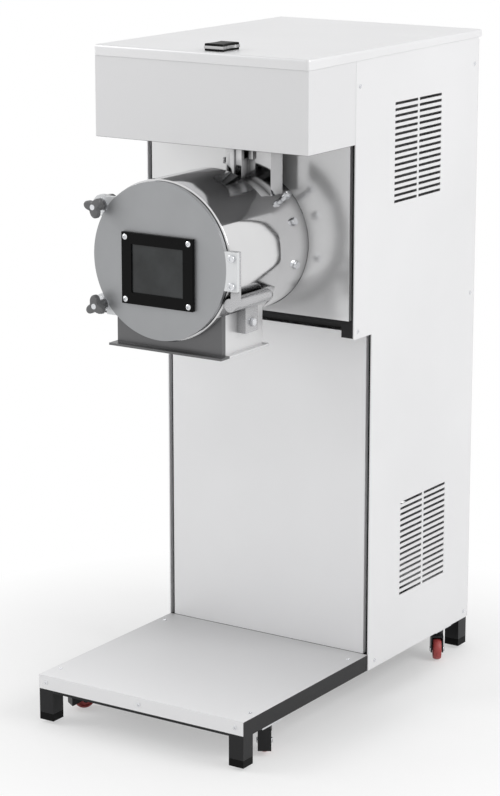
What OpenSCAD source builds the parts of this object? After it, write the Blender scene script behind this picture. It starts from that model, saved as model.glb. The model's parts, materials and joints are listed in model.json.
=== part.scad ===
// Free-standing pulverizer: a cabinet mill with a hopper on top, a beater chamber in front
// and a belt drive inside. Millimetres, Z up, front towards -Y.
// The origin lies on the floor, under the middle of the part.

/* [Overall] */
// Height of the closed lid above the floor
overall_h = 1206; // [1120:1:1300]
// Width over the side panels
cabinet_w = 445; // [420:1:480]
// Depth of the lid
lid_d = 611; // [600:1:660]
// Reach of the platform ahead of the lid
deck_reach = 196; // [170:1:230]
// Reach of the hopper box ahead of the upper front panel
hopper_reach = 157; // [150:1:165]
// Set-back of the lower front panel behind the upper one
step_d = 62; // [50:1:75]
// Overhang of the lid behind the back panel
lid_tail = 11; // [11:0.5:15]

/* [Base frame] */
// Outside of the square tube
tube = 30; // [26:1:32]
// Wall of the square tube
tube_wall = 2; // [1.5:0.5:3]
// Height of the legs below the frame
leg_h = 54; // [48:1:70]
// Gap from the legs to the floor when the castors carry the part
leg_clear = 6; // [4:1:10]
// Visible height of a leg cap
cap_h = 14; // [8:1:20]
// Depth of a leg cap's plug inside the tube
cap_plug = 12; // [6:1:18]
// Sheet of the platform
deck_t = 1.2; // [0.8:0.2:2]
// Height of the platform's folded front lip
lip_h = 26; // [18:1:29]

/* [Castors] */
// Distance from a leg to the swivel axis
castor_inset = 60; // [50:1:80]
// Wheel radius
wheel_r = 21; // [18:0.5:22]
// Wheel width
wheel_w = 17; // [14:0.5:20]
// Axle radius
axle_r = 3; // [2.5:0.5:4]
// Distance from the swivel axis to the axle
castor_trail = 15; // [10:1:18]
// Angle at which the rear castors stand
rear_turn = 33; // [0:1:45]
// Angle at which the front castors stand
front_turn = 213; // [180:1:225]
// Swivel pin radius
swivel_r = 5; // [4:0.5:6]
// Thickness of the castor's top plate
castor_plate_t = 3; // [2:0.5:4]
// Thickness of the fork's cheeks
cheek_t = 2.5; // [2:0.5:4]
// Gap from the wheel to each cheek
wheel_gap = 1; // [0.5:0.5:2]

/* [Cabinet] */
// Thickness of the side and back panels
panel_t = 2; // [1:0.5:3]
// Sheet of the front panels, the hopper box and the lid
sheet_t = 1.2; // [0.8:0.2:2]
// Depth of the folded edges of the front panels
pan_d = 10; // [6:1:14]
// Width of the frame left bare beside the front panels
bare_strip = 9; // [5:1:14]
// Height of the hopper box, from its underside to the lid's top
hopper_h = 163; // [154:1:172]
// Drop of the shaft below the hopper box
shaft_drop = 184.5; // [180:0.5:192]
// Drop of the upper cabinet's underside below the rear casing
mill_drop = 35.5; // [29:0.5:45]
// Rise from that underside to the front cross rail
cross_rise = 24; // [20:1:34]
// Height of that rail left bare below the upper panel
bare_band = 9; // [5:1:14]
// Height of the lid's folded skirt
skirt_h = 19; // [16:1:26]
// Height of the lid's skirt at the hinges
rear_skirt_h = 12; // [8:1:14]
// Gap between the lid's skirt and the walls it covers
skirt_gap = 0.5; // [0.5:0.1:1]
// Seam between neighbouring panels
seam = 0.5; // [0.2:0.1:1]
// Screw head radius
screw_r = 4; // [3:0.5:5]
// Screw head height
screw_h = 1.4; // [1:0.1:1.6]

/* [Louvres] */
// Rows in each group
louvre_rows = 17; // [9:1:20]
// Pitch of the rows
louvre_pitch = 11; // [9:0.5:12]
// Length of one slot
louvre_len = 81; // [60:1:90]
// Height of one slot
louvre_h = 5; // [3:0.5:6]
// Gap between the two columns
louvre_gap = 6; // [4:1:12]
// Drop of the upper group's lowest slot below the lid's top
louvre_drop = 284; // [256:1:326]
// Lowest slot of the lower group
louvre_low_z = 176; // [150:1:260]
// Distance from the upper panel's plane to the upper group
louvre_top_in = 136; // [110:1:150]
// Distance from the upper panel's plane to the lower group
louvre_low_in = 174; // [140:1:190]

/* [Lid fittings] */
// Width of the lid handle
handle_w = 38; // [30:1:60]
// Depth of the lid handle
handle_d = 50; // [36:1:60]
// Height of the lid handle
handle_h = 13; // [11:0.5:20]
// Height of the bright band round the handle
handle_band_h = 5; // [3:0.5:7]
// Distance from the lid's front to the handle
handle_in = 18; // [12:1:60]
// Distance of the handle from the lid's middle, towards the right
handle_x = 20; // [-60:1:60]
// Knuckle radius of the lid hinges
knuckle_r = 4; // [3.5:0.1:4]
// Pin radius of the lid hinges
hinge_pin_r = 2; // [1.5:0.1:2.4]
// Length of one lid hinge
hinge_len = 60; // [45:1:80]
// Distance from the centre to each lid hinge
hinge_x = 140; // [90:1:160]

/* [Hopper] */
// Half width of the bin's mouth
mouth_x = 184; // [150:1:186]
// Depth of the bin's mouth
mouth_d = 290; // [250:1:300]
// Rim of the bin below the lid's top
rim_drop = 26; // [25:1:40]
// Width of the feed throat
throat_w = 42; // [36:1:48]
// Depth of the feed throat
throat_d = 32; // [28:1:38]
// Offset of the throat to the right of the shaft
throat_x = 64; // [58:1:68]
// Distance from the throat's middle to the upper front panel
throat_in = 44; // [42:1:50]
// Wall of the feed chute
chute_t = 3; // [2:0.5:4]
// Width of the gate's guide block beside the chute
guide_w = 30; // [22:1:36]
// Reach of the guide block ahead of the chute
guide_reach = 22; // [12:1:30]
// Thickness of the feed gate
gate_t = 3; // [2:0.5:4]
// Rise of the gate above the rear casing
gate_rise = 15.5; // [13.5:0.5:21]
// Pull travel of the gate
gate_travel = 48; // [40:1:54]

/* [Grinding chamber] */
// Outer radius of the chamber
drum_r = 141; // [136:0.5:142]
// Wall of the chamber
drum_wall = 8; // [6:1:10]
// Length of the chamber
drum_l = 158.5; // [146:0.5:162]
// Chamfer of the chamber's front rim
drum_rim = 4; // [1:0.5:5]
// Outer radius of the rear casing
rear_r = 127; // [120:1:129]
// Wall of the rear casing
rear_wall = 6; // [5:0.5:8]
// Thickness of the end walls
end_wall = 8; // [6:1:10]
// Distance from the door's back to the upper front panel
chamber_reach = 271; // [264:1:276]
// Gap between the door and the chamber's rim
door_gap = 0.3; // [0.2:0.1:0.6]
// Half width of the outlet
outlet_x = 110; // [100:1:114]
// Sheet of the outlet
outlet_t = 3; // [2:0.5:4]
// Flange of the outlet beyond its walls
flange_out = 8.5; // [6:0.5:12]
// Thickness of that flange
flange_t = 4; // [3:0.5:6]
// Set-back of the outlet behind the chamber's front
outlet_in = 20; // [16:1:26]
// Radius of the sieve
sieve_r = 124; // [118:0.5:124]
// Sheet of the sieve
sieve_t = 2; // [1:0.5:3]
// Angle of the sieve's ends below the horizontal
sieve_dip = 18; // [12:1:26]
// Radius of the sieve's holes
sieve_hole_r = 3; // [2:0.5:4]

/* [Rotor] */
// Shaft radius
shaft_r = 12.5; // [11:0.5:14]
// Hub radius
hub_r = 32; // [26:1:38]
// Radius of the rotor disc
rotor_r = 84; // [74:1:92]
// Thickness of the rotor disc
rotor_t = 10; // [6:1:14]
// Radius to the beaters' tips
beater_r = 117; // [108:1:118]
// Width of a beater along the shaft
beater_l = 96; // [70:1:110]
// Thickness of a beater
beater_t = 10; // [6:1:14]
// Number of beaters
beaters = 6; // [4:1:8]
// Height of the shaft above the mill bed
bearing_h = 36.5; // [34:0.5:44]
// Length of a bearing block along the base
bearing_base = 140; // [120:1:160]
// Width of a bearing block along the shaft
bearing_w = 38; // [30:1:44]
// Radius of the bearing block's round body
bearing_r = 34; // [28:1:36]
// Thickness of the mill bed
bed_t = 10; // [6:1:14]

/* [Drive] */
// Pitch radius of the mill pulley
mill_pulley_r = 50; // [44:1:56]
// Pitch radius of the motor pulley
motor_pulley_r = 75; // [66:1:84]
// Width of one belt
belt_w = 12; // [10:1:14]
// Thickness of a belt
belt_t = 9; // [7:1:10]
// Spacing of the two belts
belt_pitch = 18; // [17:1:22]
// Distance from the back panel to the middle of the pulleys
pulley_in = 88; // [82:1:94]
// Radius of the motor's barrel
motor_r = 84; // [74:1:88]
// Height of the motor's cooling fins
fin_h = 11; // [6:1:11]
// Number of cooling fins
fins = 24; // [16:2:32]
// Length of the motor's barrel
motor_l = 176; // [160:1:180]
// Height of the motor's shaft above its feet
motor_h = 100; // [98:1:112]
// Radius of the motor's shaft
motor_shaft_r = 14; // [12:0.5:16]
// Thickness of the motor's rails
motor_rail_t = 8; // [6:1:10]
// Width of a motor rail
motor_rail_w = 40; // [34:1:46]

/* [Chamber door] */
// Radius of the door
door_r = 138; // [130:1:140]
// Thickness of the door
door_t = 8; // [6:1:10]
// Window frame width
window_w = 148; // [130:1:156]
// Window frame height
window_h = 125; // [110:1:130]
// Drop of the window's centre below the shaft
window_drop = 16; // [8:1:18]
// Border of the window frame
window_border = 20; // [14:1:24]
// Thickness of the window frame
window_t = 7; // [6:0.5:9]
// Thickness of the pane
pane_t = 4; // [3:0.5:4]
// Distance of the clamp studs to the left of the shaft
stud_x = 120; // [118:1:126]
// Distance of each clamp stud above and below the shaft
stud_z = 87; // [84:1:94]
// Clamp stud radius
stud_r = 5; // [4:0.5:6]
// Radius of the ears round the studs
ear_r = 19; // [16:0.5:21]
// Overall radius of a knob
knob_r = 20; // [16:0.5:24]
// Depth of a knob with its neck
knob_d = 26; // [20:1:30]
// Radius of a knob's lobes
lobe_r = 7; // [5:0.5:8]
// Angle of the upper knob's first lobe
upper_turn = 45; // [0:1:119]
// Angle of the lower knob's first lobe
lower_turn = 95; // [0:1:119]
// Washer thickness under a knob
washer_t = 2; // [1.5:0.5:3]
// Pivot of the door to the right of the shaft
pivot_x = 140; // [140:0.5:144]
// Pivot of the door below the shaft
pivot_drop = 62; // [62:1:70]
// Radius of the pivot rod
pivot_r = 8; // [6:0.5:9]
// Outer radius of the pivot's tube
pivot_tube_r = 12; // [10.5:0.5:12]
// Length of the pivot's tube
pivot_tube_l = 114; // [100:1:124]
// Thickness of the hinge arm
arm_t = 5; // [4:0.5:8]
// Width of the hinge arm
arm_w = 18; // [16:1:22]

/* [Switch and inlet] */
// Length of the switch's cut-out
switch_l = 28; // [24:1:36]
// Width of the switch's cut-out
switch_w = 14; // [12:1:20]
// Drop of the switch below the cabinet's top rail
switch_drop = 54; // [20:1:120]
// Bore of the cable gland
gland_r = 5; // [4:0.5:7]
// Height of the cable gland above the frame
gland_up = 90; // [60:1:140]

/* [Hidden] */
$fn = 72;

// Running clearance of shafts and pins, in radius
run = 0.05;
// Clearance of pieces that slide past each other
slide = 0.3;
// Overshoot of a cut past the face it opens
over = 1;
// Hexagon bolts: shank radius, head radius to the corners, head height
bolt_r = 6;
bolt_head_r = 10;
bolt_head_h = 7;

// Planes from front to back
front_y = (screw_h - lid_d - deck_reach) / 2;
lid_front_y = front_y + deck_reach;
lid_back_y = lid_front_y + lid_d;
back_y = lid_back_y - lid_tail;
upper_y = lid_front_y + hopper_reach;
lower_y = upper_y + step_d;
frame_front_y = front_y + deck_t;
frame_back_y = back_y - panel_t;
upper_post_y = upper_y + pan_d;
lower_post_y = lower_y + pan_d;

// Planes from side to side
side_x = cabinet_w / 2;
frame_x = side_x - panel_t;
inner_x = frame_x - tube;
rail_x = frame_x - tube / 2;
panel_x = frame_x - bare_strip;
lid_x = side_x + skirt_gap + sheet_t;

// Levels
frame_z = leg_clear + leg_h;
frame_top = frame_z + tube;
deck_top = frame_top + deck_t;
skirt_z = overall_h - skirt_h;
lid_under = overall_h - sheet_t;
wall_top = lid_under - 1;
rim_z = overall_h - rim_drop;
post_top = rim_z;
hopper_z = overall_h - hopper_h;
axis_z = hopper_z - shaft_drop;
step_z = axis_z - rear_r - mill_drop;
louvre_top_z = overall_h - louvre_drop;
bed_top = axis_z - bearing_h;
bed_z = bed_top - bed_t;
mill_rail_z = bed_z - tube;
cross_z = step_z + cross_rise;
upper_panel_z = cross_z + bare_band;

// Chamber planes
door_back_y = upper_y - chamber_reach;
door_front_y = door_back_y - door_t;
drum_front_y = door_back_y + door_gap;
drum_back_y = drum_front_y + drum_l;
drum_in = drum_r - drum_wall;
rear_in = rear_r - rear_wall;
outlet_y = drum_front_y + outlet_in;
outlet_back_y = drum_back_y - end_wall - outlet_t;
lug_l = outlet_in - slide;
pivot_z = axis_z - pivot_drop;

// Feed planes
throat_y = upper_y - throat_in;
chute_x0 = throat_x - throat_w / 2 - chute_t;
chute_x1 = throat_x + throat_w / 2 + chute_t;
chute_y0 = throat_y - throat_d / 2 - chute_t;
chute_y1 = throat_y + throat_d / 2 + chute_t;
gate_z = axis_z + rear_r + gate_rise;
guide_x0 = chute_x0 - guide_w;
guide_drop = 22;
gate_lap = 1;
guide_y0 = chute_y0 - guide_reach;
neck_h = 8;
neck_z = hopper_z + neck_h;
hair = 2 * run;
rim_in = 5;
mouth_in = 12;

// Castor sizes from the frame down to the floor
castor_front_y = frame_front_y + tube + castor_inset;
castor_rear_y = frame_back_y - tube - castor_inset;
castor_plate_z = frame_z - castor_plate_t;
crown_t = 4;
crown_z = wheel_r * 2 + 3;
head_r = 13;
cheek_x = wheel_w / 2 + wheel_gap;

// Hinge line of the lid
hinge_y = back_y + knuckle_r + 1;
hinge_z = lid_under - rear_skirt_h - 1;
leaf_t = 1.5;
leaf_h = 24;

// Drive planes
pulley_y = back_y - pulley_in;
pulley_w = belt_pitch + belt_w + 8;
motor_z = frame_top + motor_rail_t + motor_h;
motor_end_y = pulley_y - pulley_w / 2 - 12;
motor_front_y = motor_end_y - motor_l;
foot_in = 36;
cover_l = 36;
shaft_sink = 68;

// Rotor, bearings and motor feet
rotor_y = drum_front_y + drum_l * 0.48;
hub_front = 28;
hub_rear = 36;
bearing_ys = [upper_post_y + tube + bearing_w, pulley_y - pulley_w / 2 - 1.3 * bearing_w];
bearing_foot = 14;
bearing_bolt_x = bearing_base / 2 - 18;
motor_foot_ys = [motor_front_y + foot_in, motor_end_y - foot_in];
motor_foot = 12;
motor_bolt_x = 90;

// Hinge arm, pivot bracket and knobs
arm_x0 = pivot_x + 2;
arm_x1 = arm_x0 + arm_w;
arm_bolt_x = arm_x0 + arm_w * 0.45;
arm_bolt_zs = [21, -27];
arm_bolt_r = 4;
arm_high = 32;
arm_low = 36;
arm_back_y = door_back_y + arm_t;
bracket_x1 = outlet_x + 1.5 * pivot_tube_r;
bracket_in = 66;
bracket_half = 19;
bracket_up = 38;
bracket_y = outlet_y + bracket_in;
bracket_z = step_z + bracket_up;
knob_y = door_front_y - slide - washer_t;
pivot_end = 6;

// Inlet and switch
gland_in = 72.5;
gland_x = gland_in - side_x;
gland_wall = 4;
gland_z = frame_top + gland_up;
switch_in = 60;
switch_y = upper_y + switch_in;
switch_z = post_top - tube - switch_drop;
switch_axis_x = 7 - side_x;
trunnion_r = 1.5;

// Copies the children to both sides of the middle plane.
module both_sides() {
    children();
    mirror([1, 0, 0]) children();
}

// Box between two opposite corners.
module block(low, high) {
    translate(low) cube(high - low);
}

// Round bars along each axis.
module rod_x(y, z, x0, x1, r) {
    translate([x0, y, z]) rotate([0, 90, 0]) cylinder(h = x1 - x0, r = r);
}

module rod_y(x, z, y0, y1, r) {
    translate([x, y0, z]) rotate([-90, 0, 0]) cylinder(h = y1 - y0, r = r);
}

module rod_z(x, y, z0, z1, r) {
    translate([x, y, z0]) cylinder(h = z1 - z0, r = r);
}

// Extrusions of an outline seen from the side (drawn in Y, Z) or from the front (drawn in X, Z).
module plate_x(x0, x1) {
    translate([x0, 0, 0]) rotate([90, 0, 90]) linear_extrude(x1 - x0) children();
}

module plate_y(y0, y1) {
    translate([0, y1, 0]) rotate([90, 0, 0]) linear_extrude(y1 - y0) children();
}

// Solid of revolution about an axis along Y; the outline is drawn as radius, Y.
module turned_y(x, z) {
    translate([x, 0, z]) rotate([-90, 0, 0]) rotate_extrude() children();
}

// Shallow cone of a screw head that stands on the XY plane.
module screw_head(r, h) {
    cylinder(h = h, r1 = r, r2 = r * 0.7);
}

// Welded ring of square tube with four legs; the tubes' insides join and open at the back.
module base_frame() {
    cross_ys = [frame_front_y, lower_post_y, frame_back_y - tube];
    leg_ys = [frame_front_y, frame_back_y - tube];
    wall = tube_wall;
    color("dimgray") difference() {
        union() {
            both_sides() block([inner_x, frame_front_y, frame_z], [frame_x, frame_back_y, frame_top]);
            for (y = cross_ys)
                block([-rail_x, y, frame_z], [rail_x, y + tube, frame_top]);
            both_sides() for (y = leg_ys)
                block([inner_x, y, leg_clear + cap_h], [frame_x, y + tube, frame_z + wall]);
        }
        both_sides() block([inner_x + wall, frame_front_y + wall, frame_z + wall],
                           [frame_x - wall, frame_back_y + over, frame_top - wall]);
        for (y = cross_ys)
            block([-rail_x, y + wall, frame_z + wall], [rail_x, y + tube - wall, frame_top - wall]);
        both_sides() for (y = leg_ys)
            block([inner_x + wall, y + wall, leg_clear],
                  [frame_x - wall, y + tube - wall, frame_z + tube / 2]);
        both_sides() for (y = [castor_front_y, castor_rear_y])
            rod_z(rail_x, y, frame_z - over, frame_z + tube / 2, swivel_r + 2);
    }
}

// Plugs that close the legs' open ends.
module leg_caps() {
    gap = tube_wall + slide;
    color("black") both_sides() for (y = [frame_front_y, frame_back_y - tube]) {
        block([inner_x, y, leg_clear], [frame_x, y + tube, leg_clear + cap_h]);
        block([inner_x + gap, y + gap, leg_clear + cap_h - over],
              [frame_x - gap, y + tube - gap, leg_clear + cap_h + cap_plug]);
    }
}

// Castor top plates under the side rails.
module castor_plates() {
    color("silver") both_sides() for (y = [castor_front_y, castor_rear_y]) difference() {
        block([inner_x, y - tube, castor_plate_z], [frame_x, y + tube, frame_z]);
        rod_z(rail_x, y, castor_plate_z - over, frame_z + over, swivel_r + run);
    }
}

// Moves a castor's children from its own swivel axis to the place under the frame.
module castor_place(side, y) {
    turn = y < 0 ? front_turn : rear_turn;
    mirror([side > 0 ? 0 : 1, 0, 0]) translate([rail_x, y, 0]) rotate([0, 0, turn]) children();
}

// Fork pressed from one sheet, with a closed guard ahead of the wheel, its swivel head, pin and axle.
// It trails towards its own -Y.
module castor_fork() {
    head_top = castor_plate_z - slide;
    boss_r = wheel_r * 0.36;
    nut_t = 2;
    out_x = cheek_x + cheek_t;
    rear_y = -castor_trail - boss_r;
    guard_y = max(head_r, wheel_r - castor_trail + cheek_t + nut_t);
    guard_z = wheel_r / 2;
    color("dimgray") {
        rod_z(0, 0, crown_z, head_top, head_r);
        rod_z(0, 0, crown_z, frame_z + tube_wall, swivel_r);
        block([-out_x, rear_y, crown_z], [out_x, guard_y, crown_z + crown_t]);
        block([-out_x, guard_y - cheek_t, guard_z], [out_x, guard_y, crown_z + crown_t]);
        both_sides() plate_x(cheek_x, out_x) {
            polygon([[guard_y, crown_z + crown_t], [rear_y, crown_z + crown_t], [rear_y, wheel_r],
                     [-castor_trail, wheel_r], [guard_y - cheek_t, guard_z], [guard_y, guard_z]]);
            translate([-castor_trail, wheel_r]) circle(r = boss_r + slide);
        }
        rod_x(-castor_trail, wheel_r, -out_x - nut_t, out_x + nut_t, axle_r);
        both_sides() rod_x(-castor_trail, wheel_r, out_x, out_x + nut_t, axle_r + nut_t);
    }
}

// Wheel with a crowned tread, a sunk web and a hub.
module castor_wheel() {
    half = wheel_w / 2;
    hub = axle_r + 5;
    bore = axle_r + run;
    rim = wheel_r - 5;
    color("indianred") translate([0, -castor_trail, wheel_r]) rotate([0, 90, 0]) rotate_extrude()
        polygon([[bore, -half], [hub, -half], [hub, 2 - half], [rim, 2 - half], [rim, 1 - half],
                 [wheel_r - 2, 1 - half], [wheel_r, 3 - half], [wheel_r, half - 3],
                 [wheel_r - 2, half - 1], [rim, half - 1], [rim, half - 2], [hub, half - 2],
                 [hub, half], [bore, half]]);
}

// Platform sheet with a lip folded down over the front tube.
module platform_deck() {
    color("gainsboro") union() {
        block([-frame_x, front_y, frame_top], [frame_x, lower_y - seam, deck_top]);
        block([-frame_x, front_y, deck_top - lip_h], [frame_x, front_y + deck_t, deck_top]);
    }
}

// Welded cabinet frame. Each member is a box given by its lowest corner and its lengths.
module cabinet_frame() {
    rear_y = frame_back_y - tube;
    run_y = frame_back_y - upper_post_y;
    side_members = [
        [[inner_x, rear_y, frame_top], [tube, tube, post_top - frame_top]],
        [[inner_x, lower_post_y, frame_top], [tube, tube, step_z + tube - frame_top]],
        [[inner_x, upper_post_y, step_z], [tube, tube, post_top - step_z]],
        [[inner_x, upper_post_y, step_z], [tube, run_y, tube]],
        [[inner_x, upper_post_y, mill_rail_z], [tube, run_y, tube]],
        [[inner_x, upper_post_y, post_top - tube], [tube, run_y, tube]]
    ];
    cross_members = [
        [upper_post_y, cross_z], [lower_post_y, step_z], [rear_y, step_z], [rear_y, post_top - tube]
    ];
    wall = [tube_wall, tube_wall, tube_wall];
    down = [0, 0, over];
    color("dimgray") difference() {
        union() {
            both_sides() for (m = side_members)
                translate(m[0]) cube(m[1]);
            for (c = cross_members)
                block([-rail_x, c[0], c[1]], [rail_x, c[0] + tube, c[1] + tube]);
        }
        both_sides() for (m = side_members)
            translate(m[0] + wall) cube(m[1] - 2 * wall);
        both_sides() for (y = [rear_y, lower_post_y])
            block([inner_x, y, frame_top] + wall - 3 * down,
                  [frame_x - tube_wall, y + tube - tube_wall, frame_top + tube]);
        for (c = cross_members)
            block([-rail_x, c[0] + tube_wall, c[1] + tube_wall],
                  [rail_x, c[0] + tube - tube_wall, c[1] + tube - tube_wall]);
    }
}

// Rows and columns of ventilation slots, drawn from the lowest slot's first corner.
module louvres(rows) {
    for (column = [0, 1], row = [0 : rows - 1])
        translate([column * (louvre_len + louvre_gap), row * louvre_pitch]) square([louvre_len, louvre_h]);
}

// Stepped outline of a side panel with its two louvre groups, in Y, Z.
module side_outline() {
    difference() {
        polygon([[lower_y, frame_z], [frame_back_y, frame_z], [frame_back_y, wall_top],
                 [upper_y, wall_top], [upper_y, step_z], [lower_y, step_z]]);
        translate([upper_y + louvre_top_in, louvre_top_z]) louvres(louvre_rows);
        translate([upper_y + louvre_low_in, louvre_low_z]) louvres(louvre_rows);
    }
}

module right_side_panel() {
    color("whitesmoke") plate_x(frame_x, side_x) side_outline();
}

module left_side_panel() {
    color("whitesmoke") difference() {
        plate_x(-side_x, -frame_x) side_outline();
        block([-side_x - over, switch_y - switch_l / 2, switch_z - switch_w / 2],
              [-frame_x + over, switch_y + switch_l / 2, switch_z + switch_w / 2]);
    }
}

// Back panel with louvres beside the motor and a hole for the cable gland.
module back_panel() {
    rows = 9;
    span = 2 * louvre_len + louvre_gap;
    color("whitesmoke") difference() {
        plate_y(frame_back_y, back_y) difference() {
            translate([-side_x, frame_z]) square([cabinet_w, hinge_z - knuckle_r - frame_z]);
            translate([-span / 2, louvre_low_z + gland_up]) louvres(rows);
        }
        rod_y(gland_x, gland_z, frame_back_y - over, back_y + over, gland_r + gland_wall);
    }
}

// Panel with four edges folded back to the frame.
module pan(z0, z1, y) {
    difference() {
        block([-panel_x, y, z0], [panel_x, y + pan_d, z1]);
        block([-panel_x + sheet_t, y + sheet_t, z0 + sheet_t],
              [panel_x - sheet_t, y + pan_d + over, z1 - sheet_t]);
    }
}

// Polished panel behind the chamber, cut out for the rear casing.
module upper_front_panel() {
    color("silver") difference() {
        pan(upper_panel_z, hopper_z - seam, upper_y);
        rod_y(0, axis_z, upper_y - over, upper_y + pan_d, rear_r + slide);
    }
}

module lower_front_panel() {
    color("gainsboro") pan(deck_top + seam, step_z - seam, lower_y);
}

// Folded box ahead of the cabinet: walls, a floor that runs back to the posts and a ledge for the bin.
module hopper_housing() {
    t = sheet_t;
    y0 = lid_front_y + t + 2 * slide;
    y1 = upper_y - seam;
    ledge = mouth_in - 4 * t;
    flange_h = 20;
    hole_x = throat_w / 2 + over;
    hole_y = throat_d / 2 + over;
    color("lightgray") difference() {
        union() {
            difference() {
                block([-side_x, y0, hopper_z], [side_x, y1, wall_top]);
                block([-side_x + t, y0 + t, hopper_z + t], [side_x - t, y1 + over, wall_top + over]);
            }
            difference() {
                block([-side_x + t / 2, y0 + t / 2, rim_z - t], [side_x - t / 2, y1, rim_z]);
                block([-side_x + ledge, y0 + ledge, rim_z - t - over],
                      [side_x - ledge, y1 + over, rim_z + over]);
            }
            block([-frame_x + t, y1 - over, hopper_z], [frame_x - t, upper_post_y, hopper_z + t]);
            block([-frame_x + t, upper_post_y - t, hopper_z],
                  [frame_x - t, upper_post_y, hopper_z + flange_h]);
        }
        block([throat_x - hole_x, throat_y - hole_y, hopper_z - over],
              [throat_x + hole_x, throat_y + hole_y, hopper_z + t + over]);
    }
}

// Horizontal thickness of a plate that falls by the drop over the run.
function level_t(run, drop) = sheet_t * norm([run, drop]) / drop;

// Sloping plate between a bar at the mouth and a bar at the neck, each given by two corners in X, Y.
module bin_plate(mouth_low, mouth_high, neck_low, neck_high) {
    hull() {
        block([mouth_low[0], mouth_low[1], rim_z - 2 * hair], [mouth_high[0], mouth_high[1], rim_z - hair]);
        block([neck_low[0], neck_low[1], neck_z], [neck_high[0], neck_high[1], neck_z + hair]);
    }
}

// Grain bin: a tray that closes the cabinet's top, four plates that slope from its mouth to the neck,
// and the neck. The plates meet along hairline seams.
module hopper_bin() {
    t = sheet_t;
    skin = t - slide;
    drop = rim_z - neck_z;
    x = [throat_x - throat_w / 2, throat_x + throat_w / 2];
    y = [throat_y - throat_d / 2, throat_y + throat_d / 2];
    y0 = lid_front_y + mouth_in;
    y1 = y0 + mouth_d;
    left = level_t(x[0] + mouth_x, drop);
    right = level_t(mouth_x - x[1], drop);
    front = level_t(y[0] - y0, drop);
    back = level_t(y1 - y[1], drop);
    gap = 2 * hair;
    color("silver") {
        difference() {
            block([-frame_x + t, lid_front_y + rim_in, rim_z], [frame_x - t, frame_back_y - t, rim_z + t]);
            block([-mouth_x, y0, rim_z - over], [mouth_x, y1, rim_z + t + over]);
        }
        bin_plate([-mouth_x - left, y0 - front], [mouth_x + right, y0],
                  [x[0] - left, y[0] - front], [x[1] + right, y[0]]);
        bin_plate([-mouth_x - left, y1], [mouth_x + right, y1 + back],
                  [x[0] - left, y[1]], [x[1] + right, y[1] + back]);
        bin_plate([-mouth_x - left, y0 + gap], [-mouth_x, y1 - gap],
                  [x[0] - left, y[0] + gap], [x[0], y[1] - gap]);
        bin_plate([mouth_x, y0 + gap], [mouth_x + right, y1 - gap],
                  [x[1], y[0] + gap], [x[1] + right, y[1] - gap]);
        difference() {
            block([x[0] - skin, y[0] - skin, hopper_z], [x[1] + skin, y[1] + skin, neck_z - hair]);
            block([x[0], y[0], hopper_z - over], [x[1], y[1], neck_z + over]);
        }
    }
}

// Heads of the sheet-metal screws that hold the panels and the platform.
module panel_screws() {
    in = 14;
    drop = 60;
    side_spots = [
        [upper_y + in, wall_top - drop], [frame_back_y - in, wall_top - drop], [upper_y + in, step_z + in],
        [frame_back_y - in, step_z + in], [lower_post_y + in, frame_z + in],
        [frame_back_y - in, frame_z + in]
    ];
    lip_z = deck_top - lip_h / 2;
    color("silver") {
        both_sides() for (s = side_spots)
            translate([side_x, s[0], s[1]]) rotate([0, 90, 0]) screw_head(screw_r, screw_h);
        for (x = [-inner_x - in, 0, inner_x + in])
            translate([x, front_y, lip_z]) rotate([90, 0, 0]) screw_head(screw_r, screw_h);
        both_sides() for (y = [frame_front_y + tube + in, lower_y - 3 * in])
            translate([rail_x, y, deck_top]) screw_head(screw_r, screw_h);
        both_sides() for (z = [frame_z + in, step_z + in, rim_z - in])
            translate([rail_x, back_y, z]) rotate([-90, 0, 0]) screw_head(screw_r, screw_h);
    }
}

// Folded lid; the skirt is lower at the back so that it clears the hinge leaves when it opens.
module hopper_lid() {
    color("whitesmoke") difference() {
        block([-lid_x, lid_front_y, skirt_z], [lid_x, lid_back_y, overall_h]);
        block([-lid_x + sheet_t, lid_front_y + sheet_t, skirt_z - over],
              [lid_x - sheet_t, lid_back_y - sheet_t, lid_under]);
        block([-lid_x - over, back_y + leaf_t + slide, skirt_z - over],
              [lid_x + over, lid_back_y + over, lid_under - rear_skirt_h]);
    }
}

// Outline of the handle from above, waisted for the fingers at both sides.
module handle_outline(grow) {
    waist_r = handle_d * 0.8;
    difference() {
        translate([-handle_w / 2 - grow, -grow]) square([handle_w + 2 * grow, handle_d + 2 * grow]);
        for (side = [-1, 1])
            translate([side * (handle_w / 2 + waist_r - 3 + grow), handle_d / 2]) circle(r = waist_r);
    }
}

module lid_handle() {
    base_h = (handle_h - handle_band_h) / 2;
    color("black") translate([handle_x, lid_front_y + handle_in, overall_h]) {
        linear_extrude(base_h) handle_outline(0);
        translate([0, 0, base_h]) linear_extrude(handle_band_h) handle_outline(-2);
        translate([0, 0, base_h + handle_band_h]) linear_extrude(base_h) handle_outline(0);
    }
}

module lid_handle_band() {
    base_h = (handle_h - handle_band_h) / 2;
    color("silver") translate([handle_x, lid_front_y + handle_in, overall_h + base_h])
        linear_extrude(handle_band_h) difference() {
            handle_outline(1);
            handle_outline(-2);
        }
}

// Knuckles of one lid hinge: the outer two stay on the cabinet, the middle one follows the lid.
module knuckle(x0, x1) {
    rod_x(hinge_y, hinge_z, x0, x1, knuckle_r);
}

module lid_hinge_fixed() {
    third = hinge_len / 3;
    low_z = hinge_z - knuckle_r - slide;
    color("silver") both_sides() translate([hinge_x - hinge_len / 2, 0, 0]) difference() {
        union() {
            for (x = [0, 2 * third]) {
                knuckle(x, x + third - slide);
                block([x, back_y, low_z - over], [x + third - slide, back_y + leaf_t, hinge_z]);
            }
            block([0, back_y, low_z - leaf_h], [hinge_len - slide, back_y + leaf_t, low_z]);
        }
        rod_x(hinge_y, hinge_z, -over, hinge_len + over, hinge_pin_r + run);
    }
}

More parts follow.
